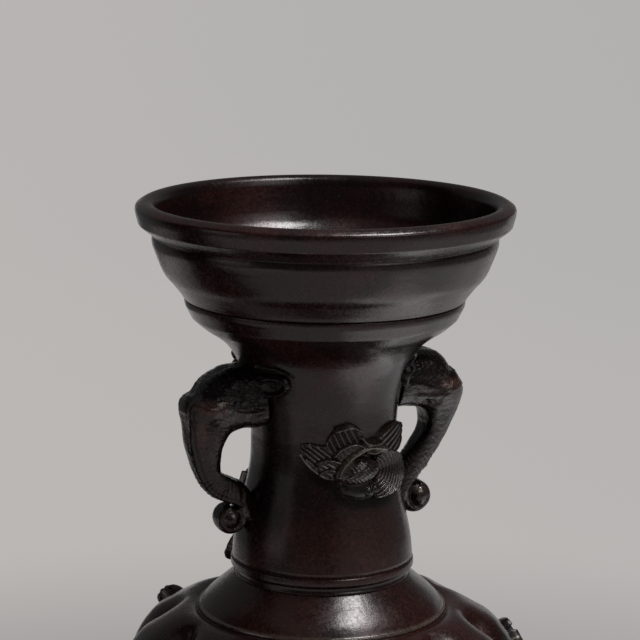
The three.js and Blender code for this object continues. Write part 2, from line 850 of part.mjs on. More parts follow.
function neckRivet(casting, azimuthDegrees, z, radius, length) {
  const azimuth = THREE.MathUtils.degToRad(azimuthDegrees)
  return rivet(casting, polar(radiusAt(neckOuter, z), azimuth, z), polar(1, azimuth, 0), radius, length)
}

// Two rivets lie under the thick part of a bird's head
const headSpots = [[-0.1, -0.04], [0.02, -0.01]]

function birdRivets(casting, host, { turn }) {
  const [cos, sin] = [Math.cos(turn), Math.sin(turn)]
  return headSpots.map(([x, y]) => {
    const across = (x * cos - y * sin) * birdSpan
    const up = (x * sin + y * cos) * birdSpan
    const outside = host(across, up, 0)
    const outward = host(across, up, 1).sub(outside).normalize()
    return rivet(casting, outside, outward, smallRivetRadius, 0.5 * birdRelief)
  })
}

// Finishes, read from the photograph

const bronze = new THREE.MeshStandardMaterial({ color: 0x2a1d1a, roughness: 0.38, metalness: 0.85 })
const wornBronze = new THREE.MeshStandardMaterial({ color: 0x3a2520, roughness: 0.42, metalness: 0.85 })
const rivetBronze = new THREE.MeshStandardMaterial({ color: 0x4a3626, roughness: 0.5, metalness: 0.85 })

const vase = new THREE.Group()

function place(name, solid, material) {
  const mesh = new THREE.Mesh(toGeometry(solid), material)
  mesh.name = name
  vase.add(mesh)
}

function drilled(solid, holes) {
  return holes.reduce((left, hole) => left.subtract(hole), solid)
}

const neckCasting = neck()
const bodyCasting = body()
const onNeck = neckTrimmer()
const onBody = bodyTrimmer()
const neckHoles = []
const bodyHoles = []

const handles = {
  handle_left: { outline: leftOutline, azimuth: -90, degrees: 180 },
  handle_right: { outline: rightOutline, azimuth: 90, degrees: 0 },
}
for (const [name, { outline, azimuth, degrees }] of Object.entries(handles)) {
  const headZ = crownZ - 0.19 * handleDrop
  const headRivet = neckRivet(neckCasting, azimuth, headZ, headRivetRadius, headRivetLength)
  const curlZ = handlePoint(outline.curl).z
  const curlRivet = neckRivet(neckCasting, azimuth, curlZ, smallRivetRadius, curlRivetLength)
  neckHoles.push(headRivet.hole, curlRivet.hole)
  place(name, handle(outline, degrees, [headRivet, curlRivet], onNeck), wornBronze)
  place(`${name}_head_rivet`, headRivet.solid, rivetBronze)
  place(`${name}_curl_rivet`, curlRivet.solid, rivetBronze)
}

const quarterTurn = Math.PI / 2
const onTheNeck = { casting: neckCasting, trimmer: onNeck, holes: neckHoles }
const onTheBody = { casting: bodyCasting, trimmer: onBody, holes: bodyHoles }
const birds = {
  neck_bird_front: {
    ...onTheNeck,
    host: neckHost(frontBirdAzimuth, cupBase - frontBirdDrop),
    pose: { turn: 0, lift: 0 },
  },
  neck_bird_rear: {
    ...onTheNeck,
    host: neckHost(rearBirdAzimuth, cupBase - rearBirdDrop),
    pose: { turn: -quarterTurn, lift: wingLift / 2 },
  },
  body_bird_right: {
    ...onTheBody,
    host: shoulderHost(rightBirdAzimuth, rightBirdDrop, -1),
    pose: { turn: 0, lift: wingLift },
  },
  body_bird_left: {
    ...onTheBody,
    host: shoulderHost(leftBirdAzimuth, leftBirdDrop),
    pose: { turn: quarterTurn / 6, lift: 0 },
  },
}
for (const [name, { casting, trimmer, holes, host, pose }] of Object.entries(birds)) {
  const rivets = birdRivets(casting, host, pose)
  holes.push(...rivets.map(({ hole }) => hole))
  place(name, bird(host, pose, rivets, trimmer), wornBronze)
  rivets.forEach(({ solid }, i) => place(`${name}_rivet_${i + 1}`, solid, rivetBronze))
}

place('mouth_cup', mouthCup(), bronze)
place('neck', drilled(neckCasting, neckHoles), bronze)
place('body', drilled(bodyCasting, bodyHoles), bronze)
place('foot', foot(), bronze)
place('base_plate', basePlate(), bronze)

export default vase
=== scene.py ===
"""The looks of a cast bronze vase: smooth castings, sculpted elephant-head handles and feathered birds.

Sizes are written in millimetres and made into metres where a mesh is built. Heights come from the frame.
An azimuth runs from the front (-Y) towards +X, in degrees unless radians are named. The handles lie along X.
"""

import math

import bmesh
import bpy
import numpy as np
from mathutils import Matrix, Vector


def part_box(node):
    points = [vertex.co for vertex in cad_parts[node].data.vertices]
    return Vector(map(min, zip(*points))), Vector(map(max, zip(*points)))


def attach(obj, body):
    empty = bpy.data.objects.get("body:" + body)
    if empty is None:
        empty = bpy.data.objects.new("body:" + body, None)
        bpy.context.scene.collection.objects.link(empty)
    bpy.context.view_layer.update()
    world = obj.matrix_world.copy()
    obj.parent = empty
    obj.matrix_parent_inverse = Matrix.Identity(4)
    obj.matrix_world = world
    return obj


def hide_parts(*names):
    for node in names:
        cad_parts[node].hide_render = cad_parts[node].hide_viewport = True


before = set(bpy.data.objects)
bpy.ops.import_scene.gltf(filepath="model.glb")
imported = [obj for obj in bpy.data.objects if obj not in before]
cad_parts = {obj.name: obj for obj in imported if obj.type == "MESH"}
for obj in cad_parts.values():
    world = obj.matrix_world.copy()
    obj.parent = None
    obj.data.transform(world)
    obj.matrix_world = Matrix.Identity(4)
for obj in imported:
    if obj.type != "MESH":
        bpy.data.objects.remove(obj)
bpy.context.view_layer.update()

MM = 0.001


# Heights that the frame gives, in millimetres

def low_mm(node):
    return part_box(node)[0].z / MM


def high_mm(node):
    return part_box(node)[1].z / MM


RIM_TOP = high_mm("mouth_cup")
SPIGOT = 7.0
FIT_GAP = 0.3
CUP_BASE = low_mm("mouth_cup") + SPIGOT
NECK_BASE = low_mm("neck") + SPIGOT
BODY_BASE = low_mm("body")
FOOT_TOP = BODY_BASE - FIT_GAP

# Driving dimensions of the outer form
WALL = 3.2
RIM_RADIUS = 70.6
MOUTH_RADIUS = 62.5
LIP_HEIGHT = 8.0
COVE_HEIGHT = 5.0
GROOVE_RADIUS = 64.1
CUP_END_RADIUS = 52.5
RING_RADIUS = 52.2
RING_HEIGHT = 6.5
WAIST_RADIUS = 27.2
TRUMPET_DROP = 44.0
BEAD_RADIUS = 34.6
BEAD_HEIGHT = 3.4
THROAT_RADIUS = 33.0
THROAT_HEIGHT = 3.0
COLLAR_RADIUS = 46.8
COLLAR_HEIGHT = 13.3
BODY_RADIUS = 80.0
LOBE_COUNT = 10
LOBE_DEPTH = 6.5
LOBE_TURN = math.radians(6)
LOWER_COLLAR_RADIUS = 48.0
LOWER_COLLAR_HEIGHT = 11.0
BODY_END_RADIUS = 40.5
FOOT_TOP_RADIUS = 41.5
FOOT_BEAD_HEIGHT = 7.0
FOOT_WAIST_RADIUS = 35.0
FOOT_RADIUS = 57.5
FOOT_RING_HEIGHT = 10.0
STEP_HEIGHT = 4.5
RIM_FLAT_WIDTH = 8.0
PLATE_RECESS = 3.0
PLATE_THICKNESS = 2.6

# Spigots that join the castings
CUP_SPIGOT_RADIUS = CUP_END_RADIUS - 6
NECK_SPIGOT_RADIUS = THROAT_RADIUS - WALL
FOOT_SPIGOT_RADIUS = BODY_END_RADIUS - WALL - 3
SPIGOT_WALL = 2.6

# Faces round the castings
ROUND_SEGMENTS = 192
BODY_SEGMENTS = 320


# Lines and meshes

def catmull(p0, p1, p2, p3, t):
    v0, v1 = (p2 - p0) * 0.5, (p3 - p1) * 0.5
    return ((2 * p1 - 2 * p2 + v0 + v1) * t ** 3
            + (-3 * p1 + 3 * p2 - 2 * v0 - v1) * t ** 2 + v0 * t + p1)


def run_lengths(line):
    """How far along a line each of its points lies."""
    return np.concatenate([[0], np.cumsum(np.linalg.norm(np.diff(line, axis=0), axis=1))])


def smooth(points, steps):
    """Evenly spaced points on a smooth curve through the given ones."""
    p = np.array(points, float)
    fine = []
    for i in range(len(p) - 1):
        before, after = p[max(i - 1, 0)], p[min(i + 2, len(p) - 1)]
        fine += [catmull(before, p[i], p[i + 1], after, t) for t in np.linspace(0, 1, 24, endpoint=False)]
    fine = np.array(fine + [p[-1]])
    length = run_lengths(fine)
    spots = np.linspace(0, length[-1], steps + 1)
    return np.stack([np.interp(spots, length, column) for column in fine.T], 1)


def rounded(corners, steps):
    """Corners (radius, height, rounding) turned into a line whose corners are arcs."""
    line = []
    for i, (r, z, bend) in enumerate(corners):
        point = np.array([r, z], float)
        if bend <= 0 or i in (0, len(corners) - 1):
            line.append(point)
            continue
        before = np.array(corners[i - 1][:2], float) - point
        after = np.array(corners[i + 1][:2], float) - point
        reach = min(bend, 0.48 * np.linalg.norm(before), 0.48 * np.linalg.norm(after))
        start = point + before / np.linalg.norm(before) * reach
        end = point + after / np.linalg.norm(after) * reach
        for t in np.linspace(0, 1, steps + 1):
            line.append((1 - t) ** 2 * start + 2 * t * (1 - t) * point + t ** 2 * end)
    return np.array(line)


def offset(radius, height, places):
    """Places written as distances out from a radius and up from a height. What follows the two is kept."""
    return [(radius + r, height + z, *rest) for r, z, *rest in places]


def spread(radius, swell, top, drop, shares):
    """Places written as shares of a swell out from a radius and of a drop down from a height."""
    return [(radius + s * swell, top - d * drop) for s, d in shares]


def directions(line):
    """The way that a line runs at each of its points."""
    along = np.gradient(line, axis=0)
    return along / np.linalg.norm(along, axis=1, keepdims=True)


def inset(line, distance):
    """The same line moved towards the axis, for a line that runs downwards."""
    along = directions(line)
    return line + np.stack([along[:, 1], -along[:, 0]], 1) * distance


def rotate(x, y, angle):
    """Two coordinates, or two vectors, as seen from axes turned by an angle in radians."""
    return x * math.cos(angle) + y * math.sin(angle), y * math.cos(angle) - x * math.sin(angle)


def smoothstep(low, high, x):
    t = np.clip((x - low) / (high - low), 0, 1)
    return t * t * (3 - 2 * t)


def between(values, low, high, soft):
    """1 between low and high, and 0 outside them, with soft borders."""
    return smoothstep(low - soft, low + soft, values) * smoothstep(high + soft, high - soft, values)


def hump(distance, width):
    """A rounded hump: 1 at no distance, 0.37 at the width, and soon nothing beyond it."""
    return np.exp(-(distance / width) ** 2)


def on_axis(radius, azimuth, height):
    """Points at a radius from the vase's axis. The azimuth is in radians."""
    return np.stack([radius * np.sin(azimuth), -radius * np.cos(azimuth), height], 1)


def skin(rings, count, closed=True, closed_line=True):
    """Faces between rings of count points. closed joins the last ring to the first, closed_line each ring."""
    faces = []
    for i in range(rings if closed else rings - 1):
        here, there = i * count, (i + 1) % rings * count
        for j in range(count if closed_line else count - 1):
            after = (j + 1) % count
            faces.append((here + j, here + after, there + after, there + j))
    return faces


def add_object(name, data):
    piece = bpy.data.objects.new(name, data)
    bpy.context.scene.collection.objects.link(piece)
    return piece


def shade_smooth(mesh):
    mesh.polygons.foreach_set("use_smooth", [True] * len(mesh.polygons))


def make_object(name, vertices, faces):
    """A smoothly shaded object from points in millimetres."""
    mesh = bpy.data.meshes.new(name)
    mesh.from_pydata([tuple(v) for v in vertices * MM], [], faces)
    mesh.validate()
    work = bmesh.new()
    work.from_mesh(mesh)
    bmesh.ops.recalc_face_normals(work, faces=work.faces)
    work.to_mesh(mesh)
    work.free()
    shade_smooth(mesh)
    return add_object(name, mesh)


def revolve(name, line, segments=ROUND_SEGMENTS, move=None):
    """A closed line of (radius, height) turned about the axis. move(points, azimuth) may shift the points."""
    keep = np.linalg.norm(line - np.roll(line, 1, axis=0), axis=1) > 1e-4
    rings = []
    for k in range(segments):
        azimuth = 2 * math.pi * k / segments
        points = (move(line, azimuth) if move else line)[keep]
        rings.append(on_axis(points[:, 0], azimuth, points[:, 1]))
    return make_object(name, np.concatenate(rings), skin(segments, len(rings[0])))


# Outer lines of the castings, from top to bottom

LIP_BASE = RIM_TOP - LIP_HEIGHT
COVE_BASE = LIP_BASE - COVE_HEIGHT
BEAD_BASE = NECK_BASE + THROAT_HEIGHT
BEAD_TOP = BEAD_BASE + BEAD_HEIGHT
TRUMPET_TOP = CUP_BASE - RING_HEIGHT - 0.7
TRUMPET_BASE = TRUMPET_TOP - TRUMPET_DROP
COLLAR_BASE = NECK_BASE - COLLAR_HEIGHT
LOBE_TOP = COLLAR_BASE - 0.4
LOBE_BASE = BODY_BASE + LOWER_COLLAR_HEIGHT + 1
LOBE_SPAN = LOBE_TOP - LOBE_BASE


def bowl_line():
    shares = [(1, 0.1), (0.91, 0.24), (0.64, 0.57), (0.35, 0.75), (0.09, 0.92), (0, 1)]
    swell = GROOVE_RADIUS - CUP_END_RADIUS
    return smooth(spread(CUP_END_RADIUS, swell, COVE_BASE, COVE_BASE - CUP_BASE, shares), 48)


def trumpet_line():
    shares = [(0.545, 0.15), (0.38, 0.23), (0.25, 0.34), (0.13, 0.51), (0.04, 0.72), (0, 1)]
    return smooth(
        [(RING_RADIUS - 2.6, TRUMPET_TOP), (RING_RADIUS - 6.7, TRUMPET_TOP - 0.08 * TRUMPET_DROP)]
        + spread(WAIST_RADIUS, RING_RADIUS - WAIST_RADIUS, TRUMPET_TOP, TRUMPET_DROP, shares), 72)


def stem_line():
    shares = [(0, 0), (0.05, 0.25), (0.4, 0.52), (0.8, 0.8)]
    swell = BEAD_RADIUS - WAIST_RADIUS
    return smooth(spread(WAIST_RADIUS, swell, TRUMPET_BASE, TRUMPET_BASE - BEAD_TOP, shares)
                  + [(BEAD_RADIUS - 0.5, BEAD_TOP + 0.7)], 40)


def collar_line():
    shares = [(0, 0), (0.27, 0.25), (0.72, 0.66), (0.97, 0.95)]
    return smooth(spread(THROAT_RADIUS, COLLAR_RADIUS - THROAT_RADIUS, NECK_BASE, COLLAR_HEIGHT, shares), 28)


def lobe_line(steps=110):
    near = [(1, 0), (3.5, 0.5), (7.6, 0.05), (14.7, -3.85), (22.2, -9.2)]
    far = [(4, 0.19), (0, 0.35), (1.6, 0.52), (8, 0.7), (19, 0.87)]
    return smooth(offset(COLLAR_RADIUS, LOBE_TOP, near) + spread(BODY_RADIUS, -1, LOBE_TOP, LOBE_SPAN, far)
                  + [(LOWER_COLLAR_RADIUS + 1, LOBE_BASE)], steps)


def lobe_share(azimuth):
    """How much of the groove's depth a lobe has at an azimuth in radians: 0 on its crown, 1 in the groove."""
    lobe = 2 * math.pi / LOBE_COUNT
    share = ((azimuth - math.pi / 2 - LOBE_TURN) % lobe) / lobe
    crease = np.abs(2 * share - 1)
    return crease ** 3 * (1 - 0.08 * smoothstep(0.95, 1.0, crease))


def lobe_fade(r, z):
    """The grooves run out below the collar and above the lower collar."""
    shoulder = smoothstep(COLLAR_RADIUS + 3, COLLAR_RADIUS + 14, r)
    above = np.where(z > LOBE_TOP - 0.3 * LOBE_SPAN, shoulder, 1)
    return above * smoothstep(LOBE_BASE, LOBE_BASE + 0.2 * LOBE_SPAN, z)


# Castings

def spigot(radius, base, bore_top):
    """A spigot below a casting's base, whose bore runs up to a height."""
    bore = radius - SPIGOT_WALL
    return [(radius, base), (radius, base - SPIGOT), (bore, base - SPIGOT), (bore, bore_top)]


def mouth_cup():
    lip = rounded(
        offset(MOUTH_RADIUS, RIM_TOP, [(-0.4, -6, 0), (-0.1, -3.1, 1.8), (1.1, -0.9, 1.5), (3, 0, 1)])
        + offset(RIM_RADIUS, RIM_TOP, [(-3, -0.1, 2.5), (-0.3, -1.8, 2.2), (-0.45, -LIP_HEIGHT / 2, 3)])
        + offset(RIM_RADIUS, LIP_BASE, [(-1.5, -0.1, 0.5), (-3.4, -1.6, 1.5)])
        + offset(RIM_RADIUS, COVE_BASE, [(-5.9, 1.5, 0.9)])
        + offset(GROOVE_RADIUS, COVE_BASE, [(-0.4, 0.5, 0.25), (0, -0.5, 0.5), (0, -1.8, 0)]), 6)
    bottom = [(CUP_END_RADIUS - 0.25, CUP_BASE)] + spigot(CUP_SPIGOT_RADIUS, CUP_BASE, CUP_BASE)
    inner = smooth(offset(MOUTH_RADIUS, RIM_TOP, [
        (-18.3, -35), (-15.7, -30.6), (-12.5, -26.2), (-9, -22.8), (-6.1, -20.4), (-3.9, -18.2), (-2.4, -16),
        (-1.6, -13.6)]), 40)
    inner_top = [(MOUTH_RADIUS - 1, RIM_TOP - 9.5)]
    return revolve("mouth_cup_cast", np.concatenate([lip, bowl_line()[1:-1], bottom, inner, inner_top]))


def neck():
    ring = rounded(
        offset(RING_RADIUS, CUP_BASE, [(-3.2, -FIT_GAP, 0), (0, -FIT_GAP, 0.35), (-0.1, -2.4, 1),
                                       (-1.1, -0.66 * RING_HEIGHT, 1), (-2.2, -RING_HEIGHT, 0.5)])
        + [(*trumpet_line()[0], 0)], 5)
    bead = rounded(
        offset(BEAD_RADIUS, BEAD_TOP, [(-0.45, 0.45, 0), (-1, 0.1, 0.25), (-0.1, -0.35, 0.4)])
        + offset(BEAD_RADIUS, BEAD_BASE, [(0, 0.5, 0.8), (-0.9, 0, 0.3)])
        + offset(THROAT_RADIUS, BEAD_BASE, [(-0.6, -0.5, 0.6)])
        + offset(THROAT_RADIUS, NECK_BASE, [(-0.6, 0.9, 0.6), (0, 0, 0)]), 6)
    outer = np.concatenate([trumpet_line()[1:], stem_line()[1:]])
    socket = CUP_SPIGOT_RADIUS + FIT_GAP
    inner = inset(outer, WALL)
    inner = inner[(inner[:, 0] < socket - 1) & (inner[:, 1] < CUP_BASE - SPIGOT - 1.5)
                  & (inner[:, 1] > BEAD_TOP + 6)][::-1]
    bottom = spigot(NECK_SPIGOT_RADIUS, NECK_BASE, BEAD_BASE)
    socket_base = CUP_BASE - SPIGOT - FIT_GAP
    top = [(inner[-1][0], socket_base), (socket, socket_base), (socket, CUP_BASE - FIT_GAP)]
    return revolve("neck_cast", np.concatenate([ring, outer[:-1], bead, bottom, inner, top]))


def body():
    edge = rounded(
        [(*collar_line()[-1], 0)]
        + offset(COLLAR_RADIUS, COLLAR_BASE, [(-0.05, 0.95, 0.3), (0.25, 0.2, 0.4), (0.1, -0.5, 0.3)])
        + offset(COLLAR_RADIUS, LOBE_TOP, [(0.5, -0.5, 0.3), (1.3, 0.05, 0)]), 4)
    lower = rounded([
        (LOWER_COLLAR_RADIUS + 0.2, LOBE_BASE - 0.6, 0),
        (LOWER_COLLAR_RADIUS, BODY_BASE + LOWER_COLLAR_HEIGHT, 0.8),
        (LOWER_COLLAR_RADIUS - 1.2, BODY_BASE + 0.6 * LOWER_COLLAR_HEIGHT, 4),
        (BODY_END_RADIUS, BODY_BASE, 0),
    ], 6)
    lobes = lobe_line()[2:]
    neck_socket = NECK_SPIGOT_RADIUS + FIT_GAP
    foot_socket = FOOT_SPIGOT_RADIUS + FIT_GAP
    inner = inset(lobes, WALL)
    inner = inner[inner[:, 0] > neck_socket + 1][::-1]
    top = np.concatenate([[(neck_socket, NECK_BASE)], collar_line()[:-1], edge])
    bottom = np.concatenate([lower, [(foot_socket, BODY_BASE), (foot_socket, BODY_BASE + SPIGOT + FIT_GAP)]])
    closing = np.array([(neck_socket, NECK_BASE - SPIGOT - FIT_GAP)])
    inward = np.concatenate([
        np.zeros_like(top), inset(lobes, 1) - lobes, np.zeros_like(bottom),
        inset(inner[::-1], 1)[::-1] - inner, np.zeros_like(closing)])

    def move(points, azimuth):
        depth = LOBE_DEPTH * lobe_share(azimuth) * lobe_fade(points[:, 0], points[:, 1])
        return points + inward * depth[:, None]

    line = np.concatenate([top, lobes, bottom, inner, closing])
    return revolve("body_cast", line, BODY_SEGMENTS, move)


def foot():
    step_top = FOOT_RING_HEIGHT + STEP_HEIGHT
    cove_top = FOOT_TOP - FOOT_BEAD_HEIGHT
    rise = cove_top - step_top
    flare = smooth([
        (FOOT_TOP_RADIUS - 3.4, cove_top),
        (FOOT_WAIST_RADIUS, cove_top - 0.22 * rise),
        (FOOT_WAIST_RADIUS + 1.2, cove_top - 0.48 * rise),
        (FOOT_WAIST_RADIUS + 0.38 * (FOOT_RADIUS - FOOT_WAIST_RADIUS), cove_top - 0.76 * rise),
        (FOOT_RADIUS - 7, step_top + 1),
    ], 40)
    bead = rounded(
        offset(FOOT_TOP_RADIUS, FOOT_TOP, [(-2, 0, 0), (0, -0.4, 1.4), (0, -4.2, 1.8), (-2.6, -5.2, 0.5)])
        + [(*flare[0], 0)], 6)
    base = rounded(
        [(*flare[-1], 0)] + offset(FOOT_RADIUS, step_top, [(-6.6, 0, 0.4), (-3.6, 0, 0.8)])
        + offset(FOOT_RADIUS, FOOT_RING_HEIGHT, [(-2.8, 0.4, 0.5), (0, 0, 1.4)])
        + offset(FOOT_RADIUS, 0, [(0, 0, 0.9), (-RIM_FLAT_WIDTH / 2, 0, 0)]), 6)
    inner = inset(flare, WALL)
    inner = inner[inner[:, 1] > PLATE_RECESS + PLATE_THICKNESS + 5][::-1]
    ledge = PLATE_RECESS + PLATE_THICKNESS + FIT_GAP
    socket = FOOT_RADIUS - RIM_FLAT_WIDTH
    under = [(socket, 0), (socket, ledge), (socket - 3, ledge)]
    radius, bore, spigot_top = FOOT_SPIGOT_RADIUS, FOOT_SPIGOT_RADIUS - WALL, BODY_BASE + SPIGOT
    top = [(bore, FOOT_TOP), (bore, spigot_top), (radius, spigot_top), (radius, FOOT_TOP)]
    return revolve("foot_cast", np.concatenate([bead[:-1], flare, base[1:], under, inner, top]))


# Points of a piece, and what is painted on them

def read_triples(items, key):
    flat = np.empty(len(items) * 3)
    items.foreach_get(key, flat)
    return flat.reshape(-1, 3)


def get_points(piece):
    return read_triples(piece.data.vertices, "co") / MM


def set_points(piece, points):
    piece.data.vertices.foreach_set("co", (points * MM).ravel())
    piece.data.update()


def paint(piece, name, values):
    """A number for each point, or one for them all, which the material reads as an attribute."""
    layers = piece.data.attributes
    layer = layers[name] if name in layers else layers.new(name, "FLOAT", "POINT")
    layer.data.foreach_set("value", values + np.zeros(len(piece.data.vertices)))


# Distances in a plane

def distance_from(points, spot):
    return np.hypot(*(points - spot).T)


def line_distance(points, line):
    """Distance in the plane from each point to an open line, and how far along it the nearest spot lies."""
    line = np.asarray(line, float)
    best = np.full(len(points), 1e9)
    where = np.zeros(len(points))
    run = 0.0
    for a, b in zip(line[:-1], line[1:]):
        way = b - a
        size = np.linalg.norm(way)
        if size == 0:
            continue
        share = np.clip(((points - a) @ way) / size ** 2, 0, 1)
        gap = np.linalg.norm(points - a - share[:, None] * way, axis=1)
        closer = gap < best
        best[closer] = gap[closer]
        where[closer] = run + share[closer] * size
        run += size
    return best, where


def inside_distance(points, outline):
    """Distance to a closed outline, positive inside it."""
    outline = np.asarray(outline, float)
    ring = np.concatenate([outline, outline[:1]])
    gap, _ = line_distance(points, ring)
    inside = np.zeros(len(points), bool)
    for a, b in zip(ring[:-1], ring[1:]):
        crosses = (a[1] > points[:, 1]) != (b[1] > points[:, 1])
        with np.errstate(divide="ignore", invalid="ignore"):
            spot = a[0] + (points[:, 1] - a[1]) * (b[0] - a[0]) / (b[1] - a[1])
        inside ^= crosses & (points[:, 0] < spot)
    return np.where(inside, gap, -gap)


# Relief work that lies on a casting's wall

# The height of spots that belong to no relief, the lowest that is kept, and the underside's
NO_RELIEF = -1
LOWEST_RELIEF = -0.85
UNDERSIDE = -1.2


def patch_grid(half_long, half_high, pitch):
    """A grid of spots (along the wall, up the wall) and its shape."""
    along, up = np.meshgrid(np.arange(-half_long, half_long + pitch / 2, pitch),
                            np.arange(-half_high, half_high + pitch / 2, pitch), indexing="ij")
    return np.stack([along.ravel(), up.ravel()], 1), along.shape


class NeckHost:
    """Places on the neck's wall: along runs round the wall, up runs up it, and rise stands out from it."""

    def __init__(self, azimuth, height, side=1, turned=False):
        self.azimuth, self.height, self.side, self.turned = math.radians(azimuth), height, side, turned
        self.radii, self.heights = np.concatenate([trumpet_line(), stem_line()[1:]])[::-1].T
        self.reach = self.radius_at(height)

    def radius_at(self, z):
        return np.interp(z, self.heights, self.radii)

    def place(self, spots, rise):
        if self.turned:
            spots = np.stack([spots[:, 1], -spots[:, 0]], 1)
        z = self.height + spots[:, 1]
        slope = self.radius_at(z + 0.5) - self.radius_at(z - 0.5)
        lean = 1 / np.sqrt(1 + slope ** 2)
        azimuth = self.azimuth + self.side * spots[:, 0] / self.reach
        return on_axis(self.radius_at(z) + rise * lean, azimuth, z - rise * lean * slope)


class ShoulderHost:
    """Places on the body's lobed shoulder, with up running up the lobe from a spot below the collar.

    lean turns what lies there, in degrees.
    """

    def __init__(self, azimuth, drop, side=1, lean=0):
        self.azimuth, self.side, self.lean = math.radians(azimuth), side, math.radians(lean)
        self.line = lobe_line(400)
        self.inward = inset(self.line, 1) - self.line
        self.length = run_lengths(self.line)
        self.middle = np.interp(COLLAR_BASE - drop, self.line[::-1, 1], self.length[::-1])
        self.reach, _ = self.at(self.middle, self.line)

    def at(self, run, pairs):
        """Both numbers of the pairs at a distance along the line."""
        return [np.interp(run, self.length, column) for column in pairs.T]

    def place(self, spots, rise):
        along, up = rotate(*spots.T, -self.lean)
        run = self.middle - up
        azimuth = self.azimuth + self.side * along / self.reach
        r, z = self.at(run, self.line)
        sink = LOBE_DEPTH * lobe_share(azimuth) * lobe_fade(r, z) - rise
        in_r, in_z = self.at(run, self.inward)
        return on_axis(r + sink * in_r, azimuth, z + sink * in_z)


def relief(name, spots, rise, shape, host, marks=None):
    """A closed piece whose top stands rise above the wall and whose underside lies just inside it.

    marks are numbers for the points of the top, by the name of the attribute that they are painted to.
    """
    shift = len(spots)
    top, under = host.place(spots, rise), host.place(spots, np.full(shift, UNDERSIDE))
    keep = (rise > LOWEST_RELIEF).reshape(shape)
    cell = keep[:-1, :-1] | keep[1:, :-1] | keep[:-1, 1:] | keep[1:, 1:]
    number = np.arange(shift).reshape(shape)
    faces, edges = [], {}
    for i, j in zip(*np.nonzero(cell)):
        corner = [number[i, j], number[i + 1, j], number[i + 1, j + 1], number[i, j + 1]]
        faces.append(tuple(corner))
        faces.append(tuple(c + shift for c in corner[::-1]))
        edges.update(dict.fromkeys(zip(corner, corner[1:] + corner[:1])))
    faces += [(b, a, a + shift, b + shift) for a, b in edges if (b, a) not in edges]
    used = np.unique(np.concatenate([np.array(f) for f in faces]))
    renumber = {old: new for new, old in enumerate(used)}
    vertices = np.concatenate([top, under])[used]
    piece = make_object(name, vertices, [tuple(renumber[c] for c in f) for f in faces])
    for key, values in (marks or {}).items():
        paint(piece, key, np.concatenate([values, np.zeros(shift)])[used])
    return piece


def ridges(rise, shape, pitch):
    """How sharply the relief bends at each spot: positive on ridges, negative in hollows, in 1/mm."""
    field = rise.reshape(shape)
    bend = np.zeros(shape)
    around = field[2:, 1:-1] + field[:-2, 1:-1] + field[1:-1, 2:] + field[1:-1, :-2]
    bend[1:-1, 1:-1] = (4 * field[1:-1, 1:-1] - around) / pitch ** 2
    return bend.ravel()


def crown_edge(inside, width):
    """A rounded rise from the outline inwards: 0 at the edge, 1 from width on."""
    share = np.clip(inside / width, 0, 1)
    return np.sqrt(1 - (1 - share) ** 2)


def pad_rise(spots, outline, height, edge, tilt=0):
    """A pad inside an outline, and how far inside each spot is. tilt is a slope along the wall."""
    inside = inside_distance(spots, smooth(outline + [outline[0]], 6 * len(outline)))
    level = height + tilt * spots[:, 0]
    return np.where(inside > 0, level * crown_edge(inside, edge), NO_RELIEF), inside


def cord_rise(spots, line, height, width):
    """A rounded cord along a smooth line, which drops away on both sides."""
    gap, _ = line_distance(spots, smooth(line, 30))
    return np.where(gap < 1.6 * width, height - (gap / width) ** 2, NO_RELIEF)


def grooves(phase):
    """Rounded barbs, 0 on a barb's crown and -1 in the groove, with one barb to each whole number."""
    return np.abs(np.cos(math.pi * phase)) - 1


def barbs(spots, angle, pitch, bow=0):
    """Parallel barbs at an angle in degrees from along. bow bends them."""
    forward, across = rotate(*spots.T, math.radians(angle))
    return grooves((across + bow * forward ** 2) / pitch)


# Birds

